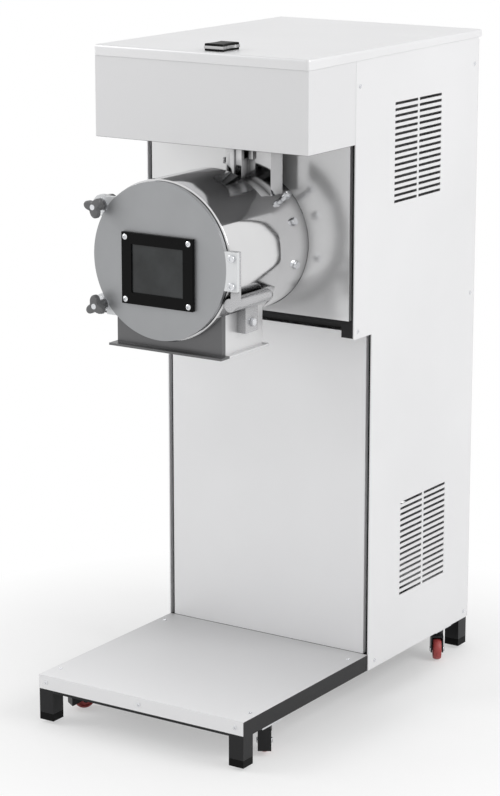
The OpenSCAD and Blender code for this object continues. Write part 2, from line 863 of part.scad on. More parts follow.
module lid_hinge_moving() {
    third = hinge_len / 3;
    leaf_y1 = lid_back_y - sheet_t;
    high_z = hinge_z + knuckle_r + slide;
    color("silver") both_sides() translate([hinge_x - hinge_len / 2, 0, 0]) difference() {
        union() {
            knuckle(third, 2 * third - slide);
            block([third, hinge_y, hinge_z], [2 * third - slide, leaf_y1, hinge_z + leaf_t]);
            block([third, leaf_y1 - leaf_t, hinge_z], [2 * third - slide, leaf_y1, high_z + over]);
            block([0, leaf_y1 - leaf_t, high_z], [hinge_len - slide, leaf_y1, lid_under]);
        }
        rod_x(hinge_y, hinge_z, -over, hinge_len + over, hinge_pin_r + run);
    }
}

module lid_hinge_pins() {
    x0 = hinge_x - hinge_len / 2;
    color("gray") both_sides() {
        rod_x(hinge_y, hinge_z, x0 - 2, x0 + hinge_len, hinge_pin_r);
        rod_x(hinge_y, hinge_z, x0 - 3, x0 - slide, hinge_pin_r + 1);
    }
}

// Feed chute on the rear casing, with the gate's guide block at its left side, a round post at the
// guide's front corner and a top flange.
module feed_chute() {
    top_z = hopper_z;
    guide_z0 = gate_z - guide_drop;
    gate_gap = gate_t / 2 + slide;
    post_r = 9;
    flange = 4;
    strap_in = 6;
    strap_w = 8;
    strap_t = 6;
    strap_z = top_z - flange / 2;
    strap_l = 28;
    color("silver") difference() {
        union() {
            block([chute_x0, chute_y0, axis_z], [chute_x1, chute_y1, top_z]);
            block([guide_x0, guide_y0, guide_z0], [chute_x0 + over, chute_y1, top_z]);
            rod_z(guide_x0 + post_r, guide_y0, guide_z0, top_z, post_r);
            block([guide_x0 - flange, guide_y0 - flange, top_z - flange],
                  [chute_x1 + flange, chute_y1 + flange, top_z]);
            both_sides_of(throat_y) block([chute_x0 + strap_in, chute_y1 - over, strap_z - strap_l],
                                          [chute_x0 + strap_in + strap_w, chute_y1 + strap_t, strap_z]);
        }
        block([throat_x - throat_w / 2, throat_y - throat_d / 2, axis_z - over],
              [throat_x + throat_w / 2, throat_y + throat_d / 2, top_z + over]);
        block([guide_x0 - over, throat_y - throat_d / 2 - gate_lap, gate_z - gate_gap],
              [throat_x, throat_y + throat_d / 2 + gate_lap, gate_z + gate_gap]);
        rod_y(0, axis_z, drum_back_y - drum_l, upper_y, rear_r);
    }
}

// Copies the children to the other side of a plane across Y.
module both_sides_of(y) {
    children();
    translate([0, 2 * y, 0]) mirror([0, 1, 0]) children();
}

// Gate plate with an upturned pull at its left end; it opens the throat when it is drawn out.
module feed_gate() {
    half = gate_t / 2;
    pull_l = 24;
    pull_h = 9;
    x0 = guide_x0 - pull_l;
    y0 = throat_y - throat_d / 2 - gate_lap + slide;
    y1 = throat_y + throat_d / 2 + gate_lap - slide;
    color("silver") union() {
        block([x0, y0, gate_z - half], [throat_x - slide, y1, gate_z + half]);
        block([throat_x - over, throat_y - throat_d / 2 + slide, gate_z - half],
              [throat_x + throat_w / 2 - slide, throat_y + throat_d / 2 - slide, gate_z + half]);
        block([x0, y0, gate_z - half], [x0 + gate_t, y1, gate_z + pull_h]);
    }
}

// Chamber barrel: chamfered rim, two rings that seat the sieve, two clamp lugs, two sieve stops
// and the opening to the outlet.
module chamber_shell() {
    y0 = drum_front_y;
    y1 = drum_back_y;
    inner_y = y1 - end_wall;
    seat = sieve_r + sieve_t + run;
    ring = 8;
    lug_r = ear_r - 2;
    lug_half = 12;
    stop_h = 5;
    stop_in = 3;
    gap_x = outlet_x - outlet_t - 2;
    color("silver") difference() {
        union() {
            turned_y(0, axis_z)
                polygon([[seat, y0], [drum_r - drum_rim, y0], [drum_r, y0 + drum_rim], [drum_r, y1],
                         [rear_in, y1], [rear_in, inner_y], [seat, inner_y], [seat, inner_y - ring],
                         [drum_in, inner_y - ring], [drum_in, y0 + ring], [seat, y0 + ring]]);
            for (z = [-stud_z, stud_z]) difference() {
                union() {
                    rod_y(-stud_x, axis_z + z, y0, y0 + lug_l, lug_r);
                    block([-stud_x, y0, axis_z + z - lug_half],
                          [-stud_x + 2 * lug_half, y0 + lug_l, axis_z + z + lug_half]);
                }
                rod_y(0, axis_z, y0 - over, y0 + lug_l + over, drum_in + over);
            }
            both_sides() rotate_about_axis(-sieve_dip)
                block([sieve_r - stop_in, y0 + ring, 0], [drum_in + over, inner_y - ring, stop_h]);
        }
        block([-gap_x, outlet_y + outlet_t, axis_z - drum_r - over],
              [gap_x, outlet_back_y - outlet_t, axis_z - drum_in * 0.68]);
        for (z = [-stud_z, stud_z])
            rod_y(-stud_x, axis_z + z, y0 - over, y0 + lug_l + over, stud_r + run);
    }
}

// Turns the children, drawn round the origin in X, Z, about the shaft.
module rotate_about_axis(angle) {
    translate([0, 0, axis_z]) rotate([0, -angle, 0]) children();
}

// Rear casing through the polished panel, open to the feed chute.
module chamber_rear() {
    y0 = drum_back_y;
    y1 = upper_post_y;
    color("silver") difference() {
        turned_y(0, axis_z)
            polygon([[rear_in, y0], [rear_r, y0], [rear_r, y1], [shaft_r + 2, y1],
                     [shaft_r + 2, y1 - end_wall], [rear_in, y1 - end_wall]]);
        block([throat_x - throat_w / 2, throat_y - throat_d / 2, axis_z],
              [throat_x + throat_w / 2, throat_y + throat_d / 2, axis_z + drum_r]);
    }
}

// Hexagon head that stands on the XY plane.
module hex_head(r, h) {
    cylinder(h = h, r = r, $fn = 6);
}

// Bolts of the mill: round the rear casing, in the pivot's bracket, the bearing blocks and the motor.
module mill_bolts() {
    small_r = 7;
    small_h = 6;
    stub_l = 20;
    bolt_y = throat_y + small_h;
    foot_z = frame_top + motor_rail_t;
    color("silver") {
        for (angle = [21, -14])
            rotate_about_axis(angle) translate([rear_r, bolt_y, 0]) rotate([0, 90, 0])
                hex_head(small_r, small_h);
        rotate_about_axis(41) translate([rear_r, bolt_y, 0]) rotate([0, 90, 0]) {
            cylinder(h = stub_l, r = stud_r);
            translate([0, 0, stub_l / 2]) hex_head(small_r, small_h);
        }
        translate([bracket_x1, bracket_y, bracket_z + small_h * 3]) rotate([0, 90, 0])
            hex_head(small_r, small_h);
        for (y = bearing_ys, x = bearing_bolt_x * [-1, 1]) {
            rod_z(x, y, bed_z, bed_top + bearing_foot, bolt_r);
            translate([x, y, bed_top + bearing_foot]) hex_head(bolt_head_r, bolt_head_h);
        }
        for (y = motor_foot_ys, x = motor_bolt_x * [-1, 1]) {
            rod_z(x, y, frame_top, foot_z + motor_foot, bolt_r);
            translate([x, y, foot_z + motor_foot]) hex_head(bolt_head_r, bolt_head_h);
        }
    }
}

// Outlet below the chamber: four walls that follow the barrel, with a flange for the flour bag.
module outlet_spout() {
    x = outlet_x;
    t = outlet_t;
    y0 = outlet_y;
    y1 = outlet_back_y;
    z0 = step_z;
    front_out = flange_out * 1.7;
    color("silver") difference() {
        union() {
            block([-x, y0, z0], [x, y1, axis_z]);
            block([-x - flange_out, y0 - front_out, z0], [x + flange_out, y1 + flange_out, z0 + flange_t]);
        }
        block([-x + t, y0 + t, z0 - over], [x - t, y1 - t, axis_z + over]);
        rod_y(0, axis_z, drum_front_y, drum_back_y, drum_r);
    }
}

// Perforated sieve round the lower half of the beaters; its ends hang on the chamber's ledges.
module sieve_screen() {
    y0 = drum_front_y + 2;
    y1 = drum_back_y - end_wall - slide;
    rows = 9;
    columns = 13;
    pitch = (y1 - y0) / rows;
    span = 180 - 2 * sieve_dip;
    color("silver") difference() {
        translate([0, y1, axis_z]) rotate([90, 0, 0]) rotate([0, 0, 180 + sieve_dip])
            rotate_extrude(angle = span) translate([sieve_r, 0]) square([sieve_t, y1 - y0]);
        for (column = [1 : columns], row = [0 : rows - 1])
            rotate_about_axis(180 + sieve_dip + column * span / (columns + 1))
                rod_x(y0 + (row + 0.5) * pitch, 0, sieve_r - over, sieve_r + sieve_t + over, sieve_hole_r);
    }
}

// Stepped mill shaft with a threaded nose and nut ahead of the rotor.
module main_shaft() {
    nose_y = rotor_y - 46;
    color("gray") union() {
        rod_y(0, axis_z, nose_y + 18, pulley_y + pulley_w / 2 + 6, shaft_r);
        rod_y(0, axis_z, nose_y, nose_y + 19, shaft_r * 0.7);
        translate([0, nose_y + 4, axis_z]) rotate([-90, 0, 0]) cylinder(h = 12, r = shaft_r * 1.35, $fn = 6);
    }
}

// Hub and disc that carry the beaters.
module rotor_hub() {
    y = rotor_y;
    half = rotor_t / 2;
    color("silver") turned_y(0, axis_z)
        polygon([[shaft_r + run, y - hub_front], [hub_r, y - hub_front], [hub_r, y - half],
                 [rotor_r, y - half], [rotor_r, y + half], [hub_r, y + half], [hub_r, y + hub_rear],
                 [shaft_r + run, y + hub_rear]]);
}

// Beater blades, each slotted over the rotor disc's edge and waisted at its root.
module rotor_beaters() {
    y = rotor_y;
    root_r = rotor_r * 0.6;
    root_half = beater_l / 4;
    half = beater_l / 2;
    tip = 7;
    gap = rotor_t / 2 + run;
    color("gray") for (i = [0 : beaters - 1]) rotate_about_axis(i * 360 / beaters) difference() {
        translate([0, 0, -beater_t / 2]) linear_extrude(beater_t)
            polygon([[root_r, y - root_half], [rotor_r, y - half], [beater_r - tip, y - half],
                     [beater_r, y - half + tip], [beater_r, y + half - tip], [beater_r - tip, y + half],
                     [rotor_r, y + half], [root_r, y + root_half]]);
        rod_y(0, 0, y - gap, y + gap, rotor_r + run);
    }
}

// Two pillow blocks that carry the shaft.
module bearing_blocks() {
    color("steelblue") for (y = bearing_ys) difference() {
        plate_y(y - bearing_w / 2, y + bearing_w / 2) {
            translate([-bearing_base / 2, bed_top]) square([bearing_base, bearing_foot]);
            translate([0, axis_z]) circle(r = bearing_r);
            polygon([[-bearing_r - 8, bed_top + bearing_foot], [bearing_r + 8, bed_top + bearing_foot],
                     [bearing_r * 0.9, axis_z], [-bearing_r * 0.9, axis_z]]);
        }
        rod_y(0, axis_z, y - bearing_w, y + bearing_w, shaft_r + run);
        for (x = bearing_bolt_x * [-1, 1])
            rod_z(x, y, bed_top - over, bed_top + bearing_foot + over, bolt_r + run);
    }
}

// Mill bed: a plate on the side rails and an upright plate behind the rear casing, with gussets.
module mill_bed() {
    y0 = upper_post_y;
    y1 = bearing_ys[1] + bearing_w * 0.8;
    up_t = end_wall;
    up_z1 = axis_z + rear_r;
    gusset = 90;
    gusset_x = inner_x - 40;
    gusset_t = 6;
    color("gray") difference() {
        union() {
            block([-frame_x + panel_t, y0 + tube + slide, bed_z], [frame_x - panel_t, y1, bed_top]);
            block([-inner_x + slide, y0, bed_z], [inner_x - slide, y0 + tube + over, bed_top]);
            block([-inner_x + slide, y0, cross_z + tube], [inner_x - slide, y0 + up_t, up_z1]);
            both_sides() plate_x(gusset_x, gusset_x + gusset_t)
                polygon([[y0 + up_t - over, bed_top - over], [y0 + gusset, bed_top - over],
                         [y0 + up_t - over, bed_top + gusset]]);
        }
        rod_y(0, axis_z, y0 - over, y0 + up_t + over, shaft_r + 8);
        for (y = bearing_ys, x = bearing_bolt_x * [-1, 1])
            rod_z(x, y, bed_z - over, bed_top + over, bolt_r + run);
    }
}

// Grooved pulley on an axis along Y.
module pulley(z, pitch_r, bore_r) {
    half = pulley_w / 2;
    rim = pitch_r + belt_t / 2 - 1;
    floor_r = pitch_r - belt_t / 2 - slide;
    groove = belt_w / 2 + slide;
    offset_y = belt_pitch / 2;
    turned_y(0, z) translate([0, pulley_y])
        polygon([[bore_r, -half], [rim, -half], [rim, -offset_y - groove - 1],
                 [floor_r, -offset_y - groove], [floor_r, groove - offset_y], [rim, groove - offset_y + 1],
                 [rim, offset_y - groove - 1], [floor_r, offset_y - groove], [floor_r, offset_y + groove],
                 [rim, offset_y + groove + 1], [rim, half], [bore_r, half]]);
}

module mill_pulley() {
    color("dimgray") pulley(axis_z, mill_pulley_r, shaft_r + run);
}

module motor_pulley() {
    color("dimgray") pulley(motor_z, motor_pulley_r, motor_shaft_r + run);
}

// Outline of a belt round both pulleys: an arc over each pulley, joined by the common tangents.
module belt_outline(grow) {
    big = motor_pulley_r + grow;
    small = mill_pulley_r + grow;
    lean = asin((big - small) / (axis_z - motor_z));
    steps = 36;
    over_top = [for (i = [0 : steps]) lean + i * (180 - 2 * lean) / steps];
    under = [for (i = [0 : steps]) 180 - lean + i * (180 + 2 * lean) / steps];
    polygon(concat([for (a = over_top) [small * cos(a), axis_z + small * sin(a)]],
                   [for (a = under) [big * cos(a), motor_z + big * sin(a)]]));
}

module drive_belts() {
    color("black") for (side = [-1, 1]) {
        y = pulley_y + side * belt_pitch / 2;
        plate_y(y - belt_w / 2, y + belt_w / 2) difference() {
            belt_outline(belt_t / 2);
            belt_outline(-belt_t / 2);
        }
    }
}

// Finned motor barrel with two end shields and two pairs of feet.
module motor_body() {
    y0 = motor_front_y;
    y1 = motor_end_y;
    foot_z = frame_top + motor_rail_t;
    foot_half = 15;
    web_x = 58;
    web_t = 6;
    shield_l = 14;
    shield_r = motor_r + 6;
    fin_in = 24;
    fin_half = 1.5;
    color("slategray") difference() {
        union() {
            rod_y(0, motor_z, y0, y1, motor_r);
            rod_y(0, motor_z, y0 + 2, y0 + 2 + shield_l, shield_r);
            rod_y(0, motor_z, y1 - 2 - shield_l, y1 - 2, shield_r);
            for (i = [0 : fins - 1])
                translate([0, 0, motor_z]) rotate([0, (i + 0.5) * 360 / fins, 0])
                    block([-fin_half, y0 + fin_in, motor_r / 2], [fin_half, y1 - fin_in, motor_r + fin_h]);
            both_sides() for (y = motor_foot_ys) {
                block([web_x, y - foot_half, foot_z],
                      [motor_bolt_x + foot_half, y + foot_half, foot_z + motor_foot]);
                block([web_x, y - web_t, foot_z], [web_x + 2 * web_t, y + web_t, motor_z - motor_r * 0.55]);
            }
        }
        rod_y(0, motor_z, y1 - shaft_sink - over, y1 + over, motor_shaft_r + run);
        both_sides() for (y = motor_foot_ys)
            rod_z(motor_bolt_x, y, foot_z - over, foot_z + motor_foot + over, bolt_r + run);
    }
}

// Fan cover on the motor's front end, with a ring of air slots.
module motor_fan_cover() {
    t = 2;
    y1 = motor_front_y + 2;
    y0 = y1 - cover_l;
    r = motor_r + 5;
    round = 8;
    eye = 14;
    slots = 12;
    slot_half = 5;
    color("dimgray") difference() {
        turned_y(0, motor_z)
            polygon([[r - t, y1], [r, y1], [r, y0 + round], [r - round, y0], [eye, y0], [eye, y0 + t],
                     [r - round - t / 2, y0 + t], [r - t, y0 + round + t / 2]]);
        for (i = [0 : slots - 1])
            translate([0, 0, motor_z]) rotate([0, i * 360 / slots, 0])
                block([-slot_half, y0 - over, 2 * eye], [slot_half, y0 + t + over, r - 2 * round]);
    }
}

module motor_shaft() {
    color("gray") rod_y(0, motor_z, motor_end_y - shaft_sink, pulley_y + pulley_w / 2 + 4, motor_shaft_r);
}

// Flat rails across the base frame under the motor's feet.
module motor_rails() {
    color("dimgray") for (y = motor_foot_ys) difference() {
        block([-frame_x, y - motor_rail_w / 2, frame_top],
              [frame_x, y + motor_rail_w / 2, frame_top + motor_rail_t]);
        for (x = motor_bolt_x * [-1, 1])
            rod_z(x, y, frame_top - over, frame_top + motor_rail_t + over, bolt_r + run);
    }
}

// Door outline seen from the front: disc, two ears with arc slots and the tab of the hinge arm.
module door_outline() {
    difference() {
        union() {
            translate([0, axis_z]) circle(r = door_r);
            for (z = [-stud_z, stud_z]) {
                translate([-stud_x, axis_z + z]) circle(r = ear_r);
                translate([-stud_x, axis_z + z - ear_r * 0.9]) square(ear_r * 1.8);
            }
            translate([0, axis_z - arm_low]) square([arm_x1, arm_low + arm_high]);
        }
        for (z = [-stud_z, stud_z])
            ear_slot(z);
        translate([0, axis_z - window_drop])
            square([window_w - 2 * window_border, window_h - 2 * window_border], center = true);
        for (z = arm_bolt_zs)
            translate([arm_bolt_x, axis_z + z]) circle(r = arm_bolt_r + run);
    }
}

// Slot that follows the arc of one stud about the door's pivot and opens below the ear.
module ear_slot(z) {
    reach = [-stud_x - pivot_x, z + pivot_drop];
    r = norm(reach);
    start = atan2(reach[1], reach[0]);
    half = stud_r + 1;
    end = start + 2 * atan2(ear_r, r);
    translate([pivot_x, pivot_z]) {
        rotate(start) translate([r, 0]) circle(r = half + slide);
        intersection() {
            difference() {
                circle(r = r + half);
                circle(r = r - half);
            }
            polygon([[0, 0], 2 * r * [cos(start), sin(start)], 2 * r * [cos(end), sin(end)]]);
        }
    }
}

module chamber_door() {
    color("darkgray") plate_y(door_front_y, door_back_y) door_outline();
}

// Window frame that traps the pane against the door.
module window_frame() {
    w = window_w / 2;
    h = window_h / 2;
    z = axis_z - window_drop;
    y0 = door_front_y - window_t;
    lap = 8;
    color("black") difference() {
        block([-w, y0, z - h], [w, door_front_y, z + h]);
        block([-w + window_border, y0 - over, z - h + window_border],
              [w - window_border, door_front_y + over, z + h - window_border]);
        block([-w + window_border - lap, door_front_y - pane_t - slide, z - h + window_border - lap],
              [w - window_border + lap, door_front_y + over, z + h - window_border + lap]);
    }
}

module window_pane() {
    w = window_w / 2 - window_border + 8 - slide;
    h = window_h / 2 - window_border + 8 - slide;
    z = axis_z - window_drop;
    color("darkslategray") block([-w, door_front_y - pane_t, z - h], [w, door_front_y, z + h]);
}

// Screws of the window's corners and bolts of the hinge arm.
module door_screws() {
    in = 8;
    z = axis_z - window_drop;
    color("silver") {
        for (x = [-1, 1], s = [-1, 1])
            translate([x * (window_w / 2 - in), door_front_y - window_t, z + s * (window_h / 2 - in)])
                rotate([90, 0, 0]) screw_head(5, 3);
        for (b = arm_bolt_zs) {
            rod_y(arm_bolt_x, axis_z + b, door_front_y - over, arm_back_y, arm_bolt_r);
            translate([arm_bolt_x, door_front_y, axis_z + b]) rotate([90, 0, 0])
                cylinder(h = arm_bolt_r + 1, r = arm_bolt_r * 1.7);
        }
    }
}

// Arm behind the door's tab, with the pivot rod that turns in the tube.
module hinge_arm() {
    hub_r = pivot_tube_r - slide;
    color("silver") difference() {
        union() {
            plate_y(door_back_y, arm_back_y) {
                translate([arm_x0, pivot_z]) square([arm_w, axis_z + arm_high - pivot_z]);
                translate([pivot_x, pivot_z]) circle(r = hub_r);
                polygon([[pivot_x, pivot_z - hub_r], [arm_x1, pivot_z], [arm_x1, pivot_z + hub_r],
                         [pivot_x, pivot_z + hub_r / 2]]);
            }
            rod_y(pivot_x, pivot_z, arm_back_y - over, arm_back_y + pivot_tube_l - 3 * pivot_end, pivot_r);
        }
        for (z = arm_bolt_zs)
            rod_y(arm_bolt_x, axis_z + z, door_back_y - over, arm_back_y + over, arm_bolt_r + run);
    }
}

// Pivot tube with a rounded closed end, on a web and a foot beside the outlet.
module pivot_bracket() {
    y0 = arm_back_y + slide;
    y1 = y0 + pivot_tube_l;
    r = pivot_tube_r;
    e = pivot_end;
    color("silver") difference() {
        union() {
            turned_y(pivot_x, pivot_z)
                polygon([[0, y0], [r - 1, y0], [r, y0 + 1], [r, y1 - e], [r - e / 3, y1 - e / 3],
                         [r - e, y1], [0, y1]]);
            block([outlet_x, bracket_y - bracket_half, bracket_z],
                  [bracket_x1, bracket_y + bracket_half, pivot_z - r / 2]);
            block([outlet_x, bracket_y - bracket_half, pivot_z - r],
                  [pivot_x, bracket_y + bracket_half, pivot_z]);
        }
        rod_y(pivot_x, pivot_z, y0 - over, y1 - 2 * e, pivot_r + run);
        rod_y(0, axis_z, drum_front_y, drum_back_y, drum_r);
    }
}

// Threaded studs fixed in the chamber's lugs.
module clamp_studs() {
    color("silver") for (z = [-stud_z, stud_z])
        rod_y(-stud_x, axis_z + z, knob_y - knob_d, drum_front_y + lug_l, stud_r);
}

module clamp_washer(z) {
    color("silver") difference() {
        rod_y(-stud_x, axis_z + z, knob_y, knob_y + washer_t, stud_r + 8);
        rod_y(-stud_x, axis_z + z, knob_y - over, knob_y + washer_t + over, stud_r + run);
    }
}

// Three-lobed grip on a long neck that stands on the washer.
module clamp_knob(z, turn) {
    y1 = knob_y - slide;
    y0 = y1 - knob_d;
    reach = knob_r - lobe_r;
    core = knob_r / 2;
    neck = knob_d / 2;
    color("gray") difference() {
        union() {
            translate([-stud_x, 0, axis_z + z]) plate_y(y0, y1 - neck) {
                circle(r = core * 1.1);
                for (lobe = [0 : 2]) rotate(turn + lobe * 120) {
                    translate([reach, 0]) circle(r = lobe_r);
                    polygon([[0, core], [reach, lobe_r * 0.96], [reach, -lobe_r * 0.96], [0, -core]]);
                }
            }
            rod_y(-stud_x, axis_z + z, y1 - neck - over, y1, core * 0.85);
        }
        rod_y(-stud_x, axis_z + z, y0 - over, y1 + over, stud_r + run);
    }
}

module upper_clamp_washer() {
    clamp_washer(stud_z);
}

module lower_clamp_washer() {
    clamp_washer(-stud_z);
}

module upper_clamp_knob() {
    clamp_knob(stud_z, upper_turn);
}

module lower_clamp_knob() {
    clamp_knob(-stud_z, lower_turn);
}

// Cable gland in the back panel: hexagon, dome and inner nut round an open bore.
module cable_gland() {
    thread_r = gland_r + gland_wall;
    hex_r = thread_r + 3;
    hex_h = 5;
    color("black") translate([gland_x, 0, gland_z]) difference() {
        union() {
            translate([0, back_y, 0]) rotate([-90, 0, 0]) hex_head(hex_r, hex_h);
            rod_y(0, 0, back_y + hex_h - over, back_y + lid_tail - 2, thread_r);
            rod_y(0, 0, frame_back_y - 2 * hex_h, back_y + over, thread_r - run);
            translate([0, frame_back_y - hex_h, 0]) rotate([-90, 0, 0]) hex_head(hex_r, hex_h);
        }
        rod_y(0, 0, frame_back_y - 3 * hex_h, back_y + lid_tail, gland_r);
    }
}

// Rocker switch in the left panel: bezel and open box with the rocker's bearings.
module switch_body() {
    l = switch_l / 2;
    w = switch_w / 2;
    lap = 3;
    wall = 2;
    depth = 16;
    bezel_t = 1.2;
    fit = 0.2;
    color("black") translate([0, switch_y, switch_z]) difference() {
        union() {
            block([-side_x - bezel_t, -l - lap, -w - lap], [-side_x, l + lap, w + lap]);
            block([-side_x - over, fit - l, fit - w], [depth - frame_x, l - fit, w - fit]);
        }
        block([-side_x - bezel_t - over, wall - l, wall - w], [depth - wall - frame_x, l - wall, w - wall]);
        rod_z(switch_axis_x, 0, -w - over, w + over, trunnion_r + run);
    }
}

// Rocker with two raised ends, on a pair of trunnions.
module switch_rocker() {
    l = switch_l / 2 - 3;
    w = switch_w / 2;
    cheek = w - 2 - slide;
    x = slide - side_x;
    thick = 4;
    color("firebrick") translate([0, switch_y, switch_z]) union() {
        translate([0, 0, -cheek]) linear_extrude(2 * cheek)
            polygon([[x, 0], [x - 1, -l], [x + thick, -l], [switch_axis_x + 2 * trunnion_r, 0],
                     [x + thick, l], [x - 1, l]]);
        rod_z(switch_axis_x, 0, slide - w, w - slide, trunnion_r);
    }
}

base_frame();
leg_caps();
castor_plates();
platform_deck();
cabinet_frame();
left_side_panel();
right_side_panel();
back_panel();
upper_front_panel();
lower_front_panel();
hopper_housing();
hopper_bin();
panel_screws();
hopper_lid();
lid_handle();
lid_handle_band();
lid_hinge_fixed();
lid_hinge_moving();
lid_hinge_pins();
feed_chute();
feed_gate();
chamber_shell();
chamber_rear();
mill_bolts();
outlet_spout();
sieve_screen();
main_shaft();
rotor_hub();
rotor_beaters();
bearing_blocks();
mill_bed();
mill_pulley();
drive_belts();
motor_body();
motor_fan_cover();
motor_shaft();
motor_pulley();
motor_rails();
chamber_door();
window_frame();
window_pane();
door_screws();
hinge_arm();
pivot_bracket();
clamp_studs();
upper_clamp_washer();
lower_clamp_washer();
upper_clamp_knob();
lower_clamp_knob();
cable_gland();
switch_body();
switch_rocker();
castor_place(-1, castor_front_y) castor_fork();  // castor_fork_front_left
castor_place(1, castor_front_y) castor_fork();  // castor_fork_front_right
castor_place(-1, castor_rear_y) castor_fork();  // castor_fork_rear_left
castor_place(1, castor_rear_y) castor_fork();  // castor_fork_rear_right
castor_place(-1, castor_front_y) castor_wheel();  // castor_wheel_front_left
castor_place(1, castor_front_y) castor_wheel();  // castor_wheel_front_right
castor_place(-1, castor_rear_y) castor_wheel();  // castor_wheel_rear_left
castor_place(1, castor_rear_y) castor_wheel();  // castor_wheel_rear_right
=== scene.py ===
# %% [markdown]
# # A cabinet mill in sheet steel
# The part is a free-standing pulverizer: grain goes in under the lid, falls through a gate into the
# beater chamber and leaves as flour over the platform. The exact shapes of all pieces come from the
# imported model. This lesson dresses them: a finish for each material, and softer forms for the pieces
# whose edges a hand or a press has rounded. Lengths are in metres; X runs to the right, Y to the back
# and Z up.

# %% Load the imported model
import json
import math

import bmesh
import bpy
import mathutils
import numpy as np
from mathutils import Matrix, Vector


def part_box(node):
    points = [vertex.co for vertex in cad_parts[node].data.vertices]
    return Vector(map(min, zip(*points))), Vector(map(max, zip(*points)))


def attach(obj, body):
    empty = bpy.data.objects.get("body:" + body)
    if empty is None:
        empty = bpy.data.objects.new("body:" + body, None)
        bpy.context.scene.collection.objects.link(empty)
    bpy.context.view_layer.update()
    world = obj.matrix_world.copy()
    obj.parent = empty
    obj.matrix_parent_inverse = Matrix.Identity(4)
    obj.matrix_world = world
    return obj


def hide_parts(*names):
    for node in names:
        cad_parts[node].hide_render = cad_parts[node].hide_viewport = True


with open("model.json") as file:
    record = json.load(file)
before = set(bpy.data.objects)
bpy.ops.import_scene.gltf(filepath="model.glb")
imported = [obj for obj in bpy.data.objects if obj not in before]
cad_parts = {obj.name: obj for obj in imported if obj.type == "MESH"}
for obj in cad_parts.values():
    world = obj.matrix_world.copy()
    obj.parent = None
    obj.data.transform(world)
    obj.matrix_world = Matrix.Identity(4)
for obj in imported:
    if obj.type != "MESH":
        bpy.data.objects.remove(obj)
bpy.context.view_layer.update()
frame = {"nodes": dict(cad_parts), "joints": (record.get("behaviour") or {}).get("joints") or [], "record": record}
nodes = frame["nodes"]
body_of = {n: b for b, ns in frame["record"]["behaviour"]["bodies"].items() for n in ns}
print("pieces in the model:", len(nodes))


def corners(node):
    """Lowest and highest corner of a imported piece."""
    return tuple(np.array(v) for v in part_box(node))

# %% [markdown]
# ## Building blocks for finishes
# A finish is a small graph of nodes. These helpers each add one step of it and hand on its output, so
# that a finish can be read from top to bottom like a formula.

# %% Node helpers
def link(tree, start, end):
    """Joins one output to one input."""
    tree.links.new(start, end)


def maths(tree, operation, first, second):
    """One operation on two outputs."""
    node = tree.nodes.new("ShaderNodeMath")
    node.operation = operation
    link(tree, first, node.inputs[0])
    link(tree, second, node.inputs[1])
    return node.outputs["Value"]


def vector_maths(tree, operation, first, second=None):
    """One vector operation; the second term is a triple, another output or missing."""
    node = tree.nodes.new("ShaderNodeVectorMath")
    node.operation = operation
    link(tree, first, node.inputs[0])
    if isinstance(second, tuple):
        node.inputs[1].default_value = second
    elif second is not None:
        link(tree, second, node.inputs[1])
    return node.outputs["Value" if operation in ("LENGTH", "DOT_PRODUCT") else "Vector"]


def object_coords(tree):
    """Coordinates of the piece itself, so that a pattern moves with it."""
    return tree.nodes.new("ShaderNodeTexCoord").outputs["Object"]


def noise_of(tree, stretch, scale, detail):
    """Noise in Object coordinates, scaled by its own factor along each axis."""
    mapping = tree.nodes.new("ShaderNodeMapping")
    mapping.inputs["Scale"].default_value = stretch
    noise = tree.nodes.new("ShaderNodeTexNoise")
    noise.inputs["Scale"].default_value = scale
    noise.inputs["Detail"].default_value = detail
    link(tree, object_coords(tree), mapping.inputs["Vector"])
    link(tree, mapping.outputs["Vector"], noise.inputs["Vector"])
    return noise.outputs["Fac"]


def ramp(tree, value, low, high, to_low, to_high):
    """Straight ramp from one range of values to another, held at both ends."""
    node = tree.nodes.new("ShaderNodeMapRange")
    limits = {"From Min": low, "From Max": high, "To Min": to_low, "To Max": to_high}
    for name, number in limits.items():
        node.inputs[name].default_value = number
    link(tree, value, node.inputs["Value"])
    return node.outputs["Result"]


def blend_colour(tree, factor, first, second):
    """Mix of two colours, each a triple or another node's output."""
    node = tree.nodes.new("ShaderNodeMix")
    node.data_type = "RGBA"
    link(tree, factor, node.inputs["Factor"])
    for name, colour in (("A", first), ("B", second)):
        if isinstance(colour, tuple):
            node.inputs[name].default_value = (*colour, 1)
        else:
            link(tree, colour, node.inputs[name])
    return node.outputs["Result"]


def away_from(tree, centre, weights):
    """Root of the squares of the weighted Object coordinates about a centre.

    Weights (1, 0, 1) give the distance from an axis along Y, weights (0, 1, 0) that from a plane
    across Y.
    """
    away = vector_maths(tree, "SUBTRACT", object_coords(tree), centre)
    return vector_maths(tree, "LENGTH", vector_maths(tree, "MULTIPLY", away, weights))


def seen_by(tree, *kinds):
    """One where the ray is of any of these kinds, else nothing."""
    path = tree.nodes.new("ShaderNodeLightPath")
    found = path.outputs[kinds[0]]
    for kind in kinds[1:]:
        found = maths(tree, "MAXIMUM", found, path.outputs[kind])
    return found

# %% [markdown]
# ## Finishes
# Every finish is a principled surface with some life in it. Two noises in the piece's own coordinates
# drive it. The fine one, stretched along one axis, is the grain that a rolling mill or a grinding belt
# leaves: it moves the roughness and lifts the surface by a few micrometres. The broad one clouds the
# colour. Sheet and paint never end in a knife edge, so the normal is rounded over the last millimetre
# before an edge, and where that rounding is strong the paint is rubbed thin. Corners and the gaps between
# parts get painted shade: their colour darkens where ambient occlusion finds other surfaces near.

# %% Finish builder
fine_detail, broad_detail = 5.0, 3.0
grain_height = 0.0004
rubbed_turn, whole_turn, rubbed_share = 0.8, 0.97, 0.55
# painted shade: its colour, and the reach and occlusion limits over which corners darken where shade falls
painted_shade_colour, painted_shade_reach = (0.02, 0.02, 0.02), 0.04
painted_shade_deep, painted_shade_open = 0.35, 0.9


